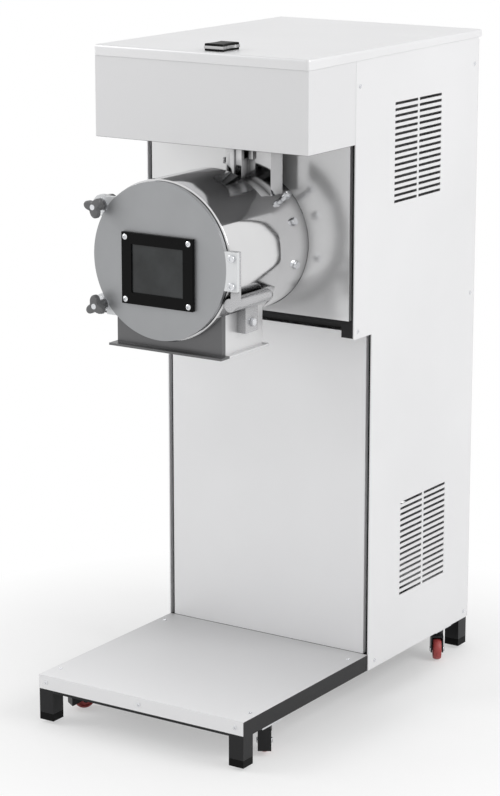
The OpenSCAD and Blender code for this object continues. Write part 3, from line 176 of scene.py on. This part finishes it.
def finish(name, colour, metallic=0.0, rough=0.4, grain=(1, 1, 1), fine=400.0, swing=0.06, cloud=7.0,
           tint=0.05, lift=0.03, edge=0.0008, worn=None, gloss=0.5, painted_shade=0.0):
    """Principled material with grain, cloud and rounded edges.

    Its roughness is rough, more or less by swing with the fine noise. Its colour is the one given, more
    or less by the share tint with the broad noise. Worn is the colour of rubbed edges, and the last
    argument is the share of painted shade that darkens its corners, where shade falls.
    """
    mat = bpy.data.materials.new(name)
    mat.use_nodes = True
    tree = mat.node_tree
    shader = tree.nodes["Principled BSDF"]
    shader.inputs["Metallic"].default_value = metallic
    shader.inputs["Specular IOR Level"].default_value = gloss
    fine_noise = noise_of(tree, grain, fine, fine_detail)
    broad = noise_of(tree, (1, 1, 1), cloud, broad_detail)
    smooth, dull = max(rough - swing, 0.02), min(rough + swing, 1.0)
    link(tree, ramp(tree, fine_noise, 0.25, 0.75, smooth, dull), shader.inputs["Roughness"])
    dark = tuple(c * (1 - tint) for c in colour)
    pale = tuple(min(c * (1 + tint), 1) for c in colour)
    shade = blend_colour(tree, ramp(tree, broad, 0.3, 0.7, 0, 1), dark, pale)
    rounded = tree.nodes.new("ShaderNodeBevel")
    rounded.samples = 4
    rounded.inputs["Radius"].default_value = edge
    if worn:
        facing = tree.nodes.new("ShaderNodeNewGeometry")
        turn = vector_maths(tree, "DOT_PRODUCT", rounded.outputs["Normal"], facing.outputs["Normal"])
        wear = ramp(tree, turn, rubbed_turn, whole_turn, rubbed_share, 0.0)
        shade = blend_colour(tree, wear, shade, worn)
    # painted shade: the colour darkens where ambient occlusion finds nearby surfaces, in corners and between parts
    if painted_shade:
        near = tree.nodes.new("ShaderNodeAmbientOcclusion")
        near.samples = 12
        near.inputs["Distance"].default_value = painted_shade_reach
        painted_shade_share = ramp(tree, near.outputs["AO"], painted_shade_deep, painted_shade_open, painted_shade, 0.0)
        shade = blend_colour(tree, painted_shade_share, shade, painted_shade_colour)
    link(tree, shade, shader.inputs["Base Color"])
    bump = tree.nodes.new("ShaderNodeBump")
    bump.inputs["Strength"].default_value = lift
    bump.inputs["Distance"].default_value = grain_height
    link(tree, fine_noise, bump.inputs["Height"])
    link(tree, rounded.outputs["Normal"], bump.inputs["Normal"])
    link(tree, bump.outputs["Normal"], shader.inputs["Normal"])
    return mat

# %% [markdown]
# ## One finish for each material of the part
# The cabinet is satin sheet whose grain runs upright, the mill is polished along its axis, the frame is
# sprayed black, the castings keep some of their sand skin and the plastics are plain. Paint and plastic
# show a paler colour where edges are rubbed.

# %% Finish table
def satin(name, colour, rough=0.42):
    """Satin sheet steel with upright grain."""
    return finish(name, colour, metallic=0.35, rough=rough, grain=(1, 1, 0.015), fine=900, swing=0.05,
                  cloud=3.0, tint=0.025, lift=0.025)


def polished(name):
    """Polished steel, ground along the mill's axis."""
    # its corners and joints carry painted shade
    return finish(name, (0.69, 0.69, 0.695), metallic=1.0, rough=0.09, grain=(1, 0.03, 1), fine=500,
                  swing=0.03, tint=0.03, lift=0.012, painted_shade=0.85)


def plate(name, colour):
    """Satin grey plate, ground without a direction."""
    return finish(name, colour, metallic=0.75, rough=0.45, fine=800, swing=0.05, cloud=9, lift=0.05)


finishes = {
    "black_steel": finish("sprayed_black", (0.008, 0.008, 0.009), rough=0.36, fine=330, lift=0.12,
                          gloss=0.28, worn=(0.05, 0.05, 0.05)),
    "black_plastic": finish("moulded_black", (0.005, 0.005, 0.005), rough=0.45, fine=700, lift=0.1,
                            gloss=0.08, worn=(0.02, 0.02, 0.02)),
    "sheet_steel": satin("satin_sheet", (0.83, 0.83, 0.838)),
    "polished_steel": polished("polished_steel"),
    "cast_grey": plate("satin_plate", (0.25, 0.255, 0.262)),
    # its crevices carry painted shade
    "machined_steel": finish("machined_steel", (0.5, 0.5, 0.51), metallic=1.0, rough=0.26,
                             grain=(1, 0.04, 1), fine=500, painted_shade=0.7),
    "zinc": finish("zinc_plate", (0.72, 0.73, 0.75), metallic=1.0, rough=0.22, fine=500, cloud=120,
                   tint=0.08, edge=0.0004),
    "window_glass": finish("dark_pane", (0.03, 0.033, 0.034), rough=0.12, fine=60, swing=0.03, cloud=18,
                           tint=0.35, lift=0.0, gloss=0.4),
    "red_wheel": finish("red_nylon", (0.4, 0.06, 0.058), rough=0.42, fine=600, lift=0.06,
                        worn=(0.3, 0.1, 0.09)),
    "belt_rubber": finish("belt_rubber", (0.013, 0.013, 0.013), rough=0.8, fine=1200, lift=0.3,
                          worn=(0.05, 0.045, 0.04)),
    "cast_iron": finish("cast_iron", (0.13, 0.135, 0.14), metallic=0.7, rough=0.58, fine=700, lift=0.5,
                        worn=(0.3, 0.3, 0.3)),
    "motor_grey": finish("machine_grey", (0.17, 0.19, 0.22), rough=0.45, fine=500, lift=0.2,
                         worn=(0.3, 0.31, 0.33)),
    "knob_grey": finish("grey_plastic", (0.15, 0.15, 0.154), rough=0.38, fine=700, lift=0.12,
                        worn=(0.25, 0.25, 0.25)),
}


def dress(node, made):
    """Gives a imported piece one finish."""
    nodes[node].data.materials.clear()
    nodes[node].data.materials.append(made)


slot_of = {p["node"]: p["material_slot"] for p in frame["record"]["subparts"]}
for node, slot in slot_of.items():
    dress(node, finishes[slot])
print("finishes:", ", ".join(finishes))

# %% [markdown]
# ## Finishes of single pieces
# Some pieces differ from the rest of their material. The panel behind the chamber is bright-rolled, so
# it is smoother than the satin cabinet and shows the mill dimly. The lower front panel is a shade paler
# than the sides, painted light that lifts the shade of its recess. The bin is dull on both sides, and its
# dark colour is painted shade for the inside of the cabinet. The platform is dulled by the sacks that
# stand on it, and its darker grey is painted shade. The outlet starts from a dark grey, the hopper's box
# from a dark grey that is painted shade, and the door is a satin grey plate.

# %% Finishes of single pieces
special = {
    "chamber_shell": polished("polished_barrel"),
    "chamber_rear": polished("polished_casing"),
    # its corners carry a little painted shade
    "upper_front_panel": finish("bright_rolled_panel", (0.84, 0.84, 0.845), metallic=0.55, rough=0.18,
                                grain=(0.05, 1, 1), fine=500, swing=0.012, cloud=4, tint=0.03,
                                lift=0.002, painted_shade=0.1),
    # dark colour: painted shade for the inside of the cabinet, seen through the louvres
    "hopper_bin": finish("dull_bin_sheet_painted_shade", (0.2, 0.2, 0.2), metallic=0.6, rough=0.6, grain=(1, 0.05, 1),
                         fine=500, tint=0.08),
    "outlet_spout": finish("ground_outlet", (0.15, 0.15, 0.153), metallic=0.8, rough=0.34,
                           grain=(0.04, 0.04, 1), fine=600, swing=0.04, tint=0.06, lift=0.01),
    # dark base: painted shade for the box's underside, which the barrel mirrors
    "hopper_housing": satin("satin_box_painted_shade", (0.18, 0.18, 0.183)),
    # paler than the sides: painted light that lifts the shade of its recess
    "lower_front_panel": satin("satin_front_painted_light", (0.86, 0.86, 0.868)),
    # darker base: painted shade towards the back, under the hopper and the cabinet
    "platform_deck": satin("satin_platform_painted_shade", (0.55, 0.55, 0.556), rough=0.62),
    "chamber_door": plate("satin_door", (0.36, 0.366, 0.375)),
}
for node, made in special.items():
    dress(node, made)
print("single finishes:", ", ".join(special))

# %% [markdown]
# ## Second colours
# Four of these pieces carry two tones. The outlet's front plate is dark grey and its sides are pale. The
# hopper's box is pale outside, while its underside keeps a dark painted shade that the barrel mirrors as
# a dark reflection. The platform is pale towards its front edge and darker towards the back, painted
# shade under the hopper and the cabinet. The door's disc is grey, but the ears and the tab outside it,
# worn by the clamps, are bright. Each second colour fades in with a distance measured in the piece's own
# coordinates, which needs no painted picture.

# %% Second colours
def repaint(mat, measure, start, end, colour):
    """Second colour over a finish, faded in while the measured distance runs from start to end."""
    tree = mat.node_tree
    shader = tree.nodes["Principled BSDF"]
    base = shader.inputs["Base Color"].links[0].from_socket
    factor = ramp(tree, away_from(tree, *measure), start, end, 0.0, 1.0)
    link(tree, blend_colour(tree, factor, base, colour), shader.inputs["Base Color"])


drum_low, drum_high = corners("chamber_rear")
axle = (0.0, 0.0, (drum_low[2] + drum_high[2]) / 2)
from_axle = (axle, (1, 0, 1))
plate_middle = corners("outlet_spout")[0][1] + 0.012
box_low = corners("hopper_housing")[0]
deck_low, deck_high = corners("platform_deck")
second_colours = {
    "outlet_spout": (((0, plate_middle, 0), (0, 1, 0)), 0.0135, 0.0145, (0.74, 0.74, 0.745)),
    # pale outside; the dark underside left under it is painted shade
    "hopper_housing": (((0, 0, box_low[2]), (0, 0, 1)), 0.0004, 0.0008, (0.78, 0.78, 0.788)),
    # pale towards the front over a darker back: painted shade towards the back
    "platform_deck": (((0, deck_high[1], 0), (0, 1, 0)), 0.0, deck_high[1] - deck_low[1],
                      (0.87, 0.87, 0.878)),
    "chamber_door": (from_axle, 0.1382, 0.1388, (0.72, 0.73, 0.74)),
}
for node, (measure, start, end, colour) in second_colours.items():
    repaint(special[node], measure, start, end, colour)
print("second colours:", ", ".join(second_colours))

# %% [markdown]
# ## Flats of rolling
# The barrel and the casing are sheet that was bent round between rollers. That leaves shallow flats
# along the axis, far too slight to see as a shape, but a mirror shows them: they break the reflections
# into uneven strips. So they are a slow noise, stretched along Y, that tilts the normal of the outside
# only.

# %% Flats of rolling
flat_stretch, flat_scale, flat_depth = (1, 0.05, 1), 24.0, 0.0045
skin_blend = 0.001


def ripple(mat, measure, start, end):
    """Flats along Y, faded in while the measured distance runs from start to end."""
    tree = mat.node_tree
    bump = tree.nodes["Bump"]
    outside = ramp(tree, away_from(tree, *measure), start, end, 0.0, 1.0)
    wave = tree.nodes.new("ShaderNodeBump")
    wave.inputs["Distance"].default_value = flat_depth
    height = maths(tree, "MULTIPLY", noise_of(tree, flat_stretch, flat_scale, 0.0), outside)
    link(tree, height, wave.inputs["Height"])
    link(tree, bump.inputs["Normal"].links[0].from_socket, wave.inputs["Normal"])
    link(tree, wave.outputs["Normal"], bump.inputs["Normal"])


skin_radius = {"chamber_shell": 0.138, "chamber_rear": 0.125}
for node, radius in skin_radius.items():
    ripple(special[node], from_axle, radius - skin_blend, radius + skin_blend)
print("rolled pieces:", ", ".join(skin_radius))

# %% [markdown]
# ## Surfaces from grids
# A soft form is a function of two parameters, worked out for a whole grid at once. Neighbouring points
# become quads; a direction that runs round the piece closes on itself. Every rounded edge is a quarter
# circle, and every wheel, nut and bolt is a profile that runs round an axis.

# %% Grid to mesh
def quads(rows, columns, wrap_rows, wrap_columns, first=0):
    """Corner numbers of the quads of a grid, starting at the point number first."""
    row_starts, column_starts = np.arange(rows - (not wrap_rows)), np.arange(columns - (not wrap_columns))
    i, j = np.meshgrid(row_starts, column_starts, indexing="ij")
    i2, j2 = (i + 1) % rows, (j + 1) % columns
    around = [i * columns + j, i2 * columns + j, i2 * columns + j2, i * columns + j2]
    return np.stack(around, -1).reshape(-1, 4) + first


def piece(name, node, parts, sharp=35, body=None, slot=None):
    """Shown piece made of parts, each (grid of points, wrap_rows, wrap_columns).

    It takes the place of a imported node, or is added to a body when there is none.
    """
    points, faces, first = [], [], 0
    for grid, wrap_rows, wrap_columns in parts:
        rows, columns = grid.shape[:2]
        faces.append(quads(rows, columns, wrap_rows, wrap_columns, first))
        points.append(grid.reshape(-1, 3))
        first += rows * columns
    mesh = bpy.data.meshes.new(name)
    mesh.from_pydata(np.concatenate(points).tolist(), [], np.concatenate(faces).tolist())
    shape = bmesh.new()
    shape.from_mesh(mesh)
    bmesh.ops.remove_doubles(shape, verts=shape.verts, dist=1e-6)
    bmesh.ops.recalc_face_normals(shape, faces=shape.faces)
    shape.to_mesh(mesh)
    shape.free()
    mesh.polygons.foreach_set("use_smooth", np.ones(len(mesh.polygons), bool))
    mesh.set_sharp_from_angle(angle=math.radians(sharp))
    made = bpy.data.objects.new(name, mesh)
    bpy.context.scene.collection.objects.link(made)
    made.data.materials.append(finishes[slot or slot_of[node]])
    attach(made, body or body_of[node])
    if node:
        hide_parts(node)
    print(name, "faces:", len(mesh.polygons))
    return made


def quarter(steps):
    """Angles of a quarter circle, with both its ends."""
    return np.linspace(0, np.pi / 2, steps)


def whole(steps):
    """Angles once round, without the last, which is the first again."""
    return np.linspace(0, 2 * np.pi, steps, endpoint=False)


def axes_along(axis):
    """Two unit vectors square to an axis, and the axis itself."""
    axis = np.asarray(axis, float) / np.linalg.norm(axis)
    side = np.cross(axis, (0, 0, 1)) if abs(axis[2]) < 0.9 else np.array((1.0, 0, 0))
    side = side / np.linalg.norm(side)
    return side, np.cross(axis, side), axis


def turned(profile, centre, axis, steps=72):
    """Surface of revolution: each (radius, height) of the profile runs round the axis."""
    side, up, axis = axes_along(axis)
    angle = whole(steps)[None, :, None]
    radius, height = (np.asarray(profile, float)[:, k][:, None, None] for k in (0, 1))
    return np.asarray(centre) + radius * (np.cos(angle) * side + np.sin(angle) * up) + height * axis

# %% [markdown]
# ## Lid
# The lid is folded from one sheet. The press leaves a small radius along its edges, which catches the
# light. Seen from above it is a rectangle with slightly rounded corners, and every level of the fold is
# the same rectangle, inset a little. Over the flat the rectangle shrinks until it is a line, which closes
# the sheet. Along the back the fold is shorter, to leave room for the hinges.

# %% Lid surface
def ring(half_x, half_y, centre, corner, inset, steps=6):
    """Rectangle with round corners, inset on all sides; points run round it once."""
    r = max(corner - inset, 0.0004)
    around = []
    for k, (sx, sy) in enumerate(((1, 1), (-1, 1), (-1, -1), (1, -1))):
        a = quarter(steps) + k * np.pi / 2
        x, y = sx * (half_x - inset - r) + r * np.cos(a), sy * (half_y - inset - r) + r * np.sin(a)
        around.append(np.stack([x, y], -1))
    flat = np.concatenate(around)
    if inset >= half_x:
        flat[:, 0] = 0.0
    return flat + centre[:2]


low, high = corners("hopper_lid")
middle, half = (low + high) / 2, (high - low) / 2
sheet, bend, hold = 0.0012, 0.004, 0.001
lid_corner, back_strip, back_fold = 0.006, 0.0095, 0.0132
turn = quarter(7)
outer = [(half[0], high[2]), (bend + hold, high[2])]
outer += [(bend * (1 - np.sin(a)), high[2] - bend * (1 - np.cos(a))) for a in turn]
outer += [(0.0, high[2] - bend - hold), (0.0, low[2])]
tight, under = bend - sheet, high[2] - sheet
inner = [(sheet, low[2]), (sheet, under - tight - hold)]
inner += [(sheet + tight * (1 - np.sin(a)), under - tight * (1 - np.cos(a))) for a in turn[::-1]]
inner += [(bend + hold, under), (half[0], under)]
rings = []
for inset, z in outer + inner:
    flat = ring(half[0], half[1], middle, lid_corner, inset)
    level = np.full(len(flat), z)
    raised = (z < low[2] + hold) & (flat[:, 1] > high[1] - back_strip)
    level[raised] = high[2] - back_fold
    rings.append(np.column_stack([flat, level]))
piece("lid_sheet", "hopper_lid", [(np.array(rings), False, True)])

# %% [markdown]
# ## Lid handle
# The handle is a moulded bow, pinched in the middle so that two fingers hold it; the bright band let into
# its waist line is not built here. Its outline from above is a rectangle whose sides bow inwards along a
# parabola; the moulding is that outline, drawn in by a quarter circle along its top and bottom edges.

# %% Handle surface
def handle_loop(half_x, half_y, pinch, steps=24):
    """Outline: x = half_x - pinch * (1 - (y / half_y)^2) on the right, its mirror on the left."""
    y = np.linspace(-half_y, half_y, steps)
    x = half_x - pinch * (1 - (y / half_y) ** 2)
    return np.concatenate([np.stack([x, y], -1), np.stack([-x, y], -1)[::-1]])


low, high = corners("lid_handle")
middle, half = (low + high) / 2, (high - low) / 2
soft, waist = 0.0012, 0.003
turn = quarter(5)
levels = [(half[0], low[2])]
levels += [(soft * (1 - np.sin(a)), low[2] + soft * (1 - np.cos(a))) for a in turn]
levels += [(soft * (1 - np.cos(a)), high[2] - soft * (1 - np.sin(a))) for a in turn]
levels += [(half[0], high[2])]
rows = []
for inset, z in levels:
    pinch = waist if inset < half[0] else 0.0
    flat = handle_loop(max(half[0] - inset, 0.0), half[1] - min(inset, soft), pinch)
    rows.append(np.column_stack([flat + middle[:2], np.full(len(flat), z)]))
piece("handle_bow", "lid_handle", [(np.array(rows), False, True)], sharp=40)

# %% [markdown]
# ## Clamp knobs
# A three-lobed knob is moulded round a threaded sleeve and stands on a slim neck. Its outline is a circle
# whose radius swells three times round, and its edges are rolled over so that it sits well in the hand.
# The two knobs stopped at different angles when they were tightened.

# %% Knob surfaces
knob_mean, knob_swell = 0.0146, 0.0053
knob_bore, knob_neck, stud_radius = 0.00515, 0.0084, 0.005
stud_low, stud_high = corners("clamp_studs")


def knob(name, node, lobe):
    """Radius = mean + swell * cos(3 * (angle - lobe)), led over the neck and back through the bore.

    The grip's levels are (share of the way from the bore to the outline, share of the depth).
    """
    low, high = corners(node)
    x = (stud_low[0] + stud_high[0]) / 2
    z = stud_high[2] - stud_radius if node.startswith("upper") else stud_low[2] + stud_radius
    angle = whole(120)
    outline = knob_mean + knob_swell * np.cos(3 * (angle - np.radians(lobe)))
    grip = [(0.0, 0.0)] + [(0.78 + 0.22 * np.sin(a), 0.16 * (1 - np.cos(a))) for a in quarter(6)]
    grip += [(0.84 + 0.16 * np.cos(a), 0.36 + 0.12 * np.sin(a)) for a in quarter(6)]
    levels = [(knob_bore + (outline - knob_bore) * share, deep) for share, deep in grip]
    levels += [(knob_neck + 0.001, 0.49), (knob_neck, 0.53), (knob_neck, 0.98)]
    levels += [(knob_neck - 0.0004, 1.0), (knob_bore, 1.0)]
    rows = []
    for r, deep in levels:
        y = np.full(len(angle), low[1] + (high[1] - low[1]) * deep)
        rows.append(np.column_stack([x + r * np.cos(angle), y, z + r * np.sin(angle)]))
    return piece(name, node, [(np.array(rows), True, True)], sharp=50)


knob("upper_grip", "upper_clamp_knob", 45)
knob("lower_grip", "lower_clamp_knob", 95)

# %% [markdown]
# ## Castor wheels
# The nylon wheels are turned shapes: a crowned tread, a web that is sunk on both sides and a hub that
# runs on the axle. Dome nuts close the axle at both ends and stay with the fork. The axle's place and
# direction are those of the rolling joint.

# %% Wheel surfaces
wheel_radius, wheel_half, wheel_bore, crown_drop = 0.021, 0.0085, 0.00305, 0.0016
nut_radius, nut_start, nut_wall, nut_dome = 0.0052, 0.012, 0.001, 0.0016
joint_prefix = "wheel_roll_"


def wheel_profile(radius, half, bore):
    """Closed loop of (radius, height): bore, hub, sunk web, rim and a crowned tread."""
    tread = [(radius - crown_drop * c ** 2, 0.8 * half * c) for c in np.linspace(-1, 1, 11)]
    side = [(radius * 0.86, 0.93 * half), (radius * 0.76, 0.9 * half), (radius * 0.72, 0.6 * half),
            (radius * 0.42, 0.6 * half), (radius * 0.37, half), (bore, half)]
    return tread + side + [(r, -h) for r, h in side[::-1]]


def dome_nut(centre, axis):
    """Round nut with a domed end, from its foot on the fork to its pole."""
    profile = [(0.0, nut_start), (nut_radius, nut_start)]
    profile += [(nut_radius * np.cos(a), nut_start + nut_wall + nut_dome * np.sin(a)) for a in quarter(8)]
    return turned(profile, centre, axis, 32)


for joint in frame["joints"]:
    if joint["name"].startswith(joint_prefix):
        place = joint["name"][len(joint_prefix):]
        centre, axis = np.array(joint["pos_m"]), np.array(joint["axis"])
        loop = wheel_profile(wheel_radius, wheel_half, wheel_bore)
        node = "castor_wheel_" + place
        piece("turned_" + node, node, [(turned(loop, centre, axis), True, True)])
        nuts = [(dome_nut(centre, way), False, True) for way in (axis, -axis)]
        piece("axle_nuts_" + place, None, nuts, body="castor_" + place, slot="zinc")

# %% [markdown]
# ## Screws
# The sheet-metal screws have low domed heads with a cross recess. One head is a polar grid: its height
# falls off like a dome, and drops where either arm of the cross runs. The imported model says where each
# head sits, which is found by giving all points that hang together the same label.

# %% Screw heads
def solids(node):
    """Lowest and highest corners of a node's separate solids.

    Every point starts with a label of its own; linked points then share the lowest one until it settles.
    """
    mesh = nodes[node].data
    spots = np.empty(len(mesh.vertices) * 3)
    mesh.vertices.foreach_get("co", spots)
    spots = spots.reshape(-1, 3)
    same = np.unique(np.round(spots, 5), axis=0, return_inverse=True)[1].ravel()
    ends = np.empty(len(mesh.edges) * 2, int)
    mesh.edges.foreach_get("vertices", ends)
    a, b = same[ends].reshape(-1, 2).T
    label = np.arange(same.max() + 1)
    settled = False
    while not settled:
        lower = label.copy()
        np.minimum.at(lower, a, label[b])
        np.minimum.at(lower, b, label[a])
        lower = lower[lower]
        settled = (lower == label).all()
        label = lower
    owner = label[same]
    return [(spots[owner == k].min(0), spots[owner == k].max(0)) for k in np.unique(owner)]


dome_fall, arm_half, arm_reach, arm_depth = 0.55, 0.12, 0.56, 0.45


def screw(centre, axis, radius, height):
    """Dome height * (1 - fall * r^2), less a cross recess, over a polar grid; then rim and base.

    All shares are of the head's radius or height; r runs from the middle to the rim.
    """
    side, up, axis = axes_along(axis)
    angle = whole(48)
    r = np.concatenate([np.linspace(0, 0.62, 12), np.linspace(0.68, 1.0, 5), [1.0, 0.0]])[:, None]
    x, y = r * np.cos(angle), r * np.sin(angle)
    recess = (np.minimum(np.abs(x), np.abs(y)) < arm_half) & (r < arm_reach)
    dome = height * (1 - dome_fall * r ** 2) - arm_depth * height * recess
    dome[-2:] = 0.0
    across = radius * (x[..., None] * side + y[..., None] * up)
    return np.asarray(centre) + across + dome[..., None] * axis


heads = []
for low, high in solids("panel_screws"):
    size, middle = high - low, (low + high) / 2
    k = int(np.argmin(size))
    way = np.zeros(3)
    way[k] = 1.0 if k == 2 or middle[k] > 0 else -1.0
    foot = middle - way * size[k] / 2
    heads.append((screw(foot, way, np.delete(size, k).max() / 2, size[k]), False, True))
piece("panel_screw_heads", "panel_screws", heads, sharp=40)

# %% [markdown]
# ## Door screws
# Four round-headed screws hold the window's frame, and two cap bolts hold the hinge arm behind the door's
# tab. The bolts are turned shapes: shank, a head with rolled edge and a sunk socket. The two kinds are
# told apart by their length.

# %% Door screw heads and arm bolts
shank_radius, head_height, head_roll = 0.004, 0.005, 0.0015
socket_wall, socket_floor = 0.0025, 0.0032
bolt_length = 0.008
outwards = (0, -1, 0)


def cap_bolt(low, high):
    """Profile from the shank's end over the head's rim down into a conical socket, turned about Y."""
    radius, length = (high[0] - low[0]) / 2, high[1] - low[1]
    foot = length - head_height
    profile = [(0.0, 0.0), (shank_radius, 0.0), (shank_radius, foot), (radius, foot)]
    profile += [(radius - head_roll * (1 - np.cos(a)), length - head_roll * (1 - np.sin(a)))
                for a in quarter(6)]
    profile += [(0.5 * radius, length), (0.5 * radius, length - socket_wall), (0.0, length - socket_floor)]
    middle = (low + high) / 2
    return turned(profile, (middle[0], high[1], middle[2]), outwards, 48)


heads = []
for low, high in solids("door_screws"):
    size, middle = high - low, (low + high) / 2
    if size[1] > bolt_length:
        head = cap_bolt(low, high)
    else:
        head = screw((middle[0], high[1], middle[2]), outwards, size[0] / 2, size[1])
    heads.append((head, False, True))
piece("door_screw_heads", "door_screws", heads, sharp=40)

# %% [markdown]
# ## Studio
# A pale floor carries the part's shadow and runs out into white. Two broad lamps hang to the right and to
# the left, high enough that no upright panel mirrors them into a camera at eye level; the right one is
# the stronger, so the cabinet's side is its brightest face. The world is white where the camera, a
# reflection or a pane sees it, and dimmer as a light.

# %% Floor
floor_half = 9.0
fade_start, fade_end, fade_least = 0.3, 0.85, 0.35
outline = [(floor_half * sx, floor_half * sy, 0) for sx, sy in ((-1, -1), (1, -1), (1, 1), (-1, 1))]
floor_mesh = bpy.data.meshes.new("studio_floor")
floor_mesh.from_pydata(outline, [], [(0, 1, 2, 3)])
floor = bpy.data.objects.new("studio_floor", floor_mesh)
bpy.context.scene.collection.objects.link(floor)
paper = finish("pale_floor", (0.92, 0.92, 0.92), rough=0.7, fine=4, tint=0.01, lift=0.0)
tree = paper.node_tree
reach = vector_maths(tree, "LENGTH", object_coords(tree))
run_out = ramp(tree, reach, fade_start, fade_end, fade_least, 1.0)
fade = maths(tree, "MULTIPLY", run_out, seen_by(tree, "Is Camera Ray", "Is Glossy Ray"))
white = tree.nodes.new("ShaderNodeEmission")
over = tree.nodes.new("ShaderNodeMixShader")
link(tree, fade, over.inputs["Fac"])
link(tree, tree.nodes["Principled BSDF"].outputs["BSDF"], over.inputs[1])
link(tree, white.outputs["Emission"], over.inputs[2])
link(tree, over.outputs["Shader"], tree.nodes["Material Output"].inputs["Surface"])
floor.data.materials.append(paper)
print("floor:", 2 * floor_half, "m square")

# %% World
world_light, world_seen = 0.5, 1.0
world = bpy.data.worlds.new("studio")
bpy.context.scene.world = world
world.use_nodes = True
tree = world.node_tree
dim = tree.nodes["Background"]
bright = tree.nodes.new("ShaderNodeBackground")
for background, strength in ((dim, world_light), (bright, world_seen)):
    background.inputs["Color"].default_value = (1, 1, 1, 1)
    background.inputs["Strength"].default_value = strength
mixer = tree.nodes.new("ShaderNodeMixShader")
in_sight = seen_by(tree, "Is Camera Ray", "Is Glossy Ray", "Is Transmission Ray")
link(tree, in_sight, mixer.inputs["Fac"])
link(tree, dim.outputs["Background"], mixer.inputs[1])
link(tree, bright.outputs["Background"], mixer.inputs[2])
link(tree, mixer.outputs["Shader"], tree.nodes["World Output"].inputs["Surface"])
print("world: white to look at, lights at", world_light)

# %% Lamps
def lamp(name, place, target, size, power):
    """Square area lamp that faces its target."""
    light = bpy.data.lights.new(name, "AREA")
    light.size = size
    light.energy = power
    made = bpy.data.objects.new(name, light)
    made.location = place
    way = mathutils.Vector(target) - mathutils.Vector(place)
    made.rotation_mode = "QUATERNION"
    made.rotation_quaternion = way.to_track_quat("-Z", "Y")
    bpy.context.scene.collection.objects.link(made)
    return made


lamp_target, lamp_size = (0, 0, 0.7), 2.0
lamp("right_lamp", (3.3, 0.3, 2.8), lamp_target, lamp_size, power=63)
lamp("left_lamp", (-3.3, -1.9, 2.7), lamp_target, lamp_size, power=54)
print("lamps: right and left")

# %% [markdown]
# ## Camera
# The camera stands to the right of the front and a little above, where the photo was taken from.

# %% Camera
azimuth, elevation, distance = math.radians(33.32), math.radians(13.82), 4.183
target = mathutils.Vector((0.3007, -0.5026, 0.695))
level = math.cos(elevation)
back = mathutils.Vector((math.sin(azimuth) * level, -math.cos(azimuth) * level, math.sin(elevation)))
camera = bpy.data.cameras.new("camera")
camera.lens = 117.5
camera.sensor_width = 36
shot = bpy.data.objects.new("camera", camera)
bpy.context.scene.collection.objects.link(shot)
shot.location = target + back * distance
shot.rotation_mode = "QUATERNION"
shot.rotation_quaternion = (-back).to_track_quat("-Z", "Y")
bpy.context.scene.camera = shot
bpy.context.scene.view_settings.view_transform = "Standard"
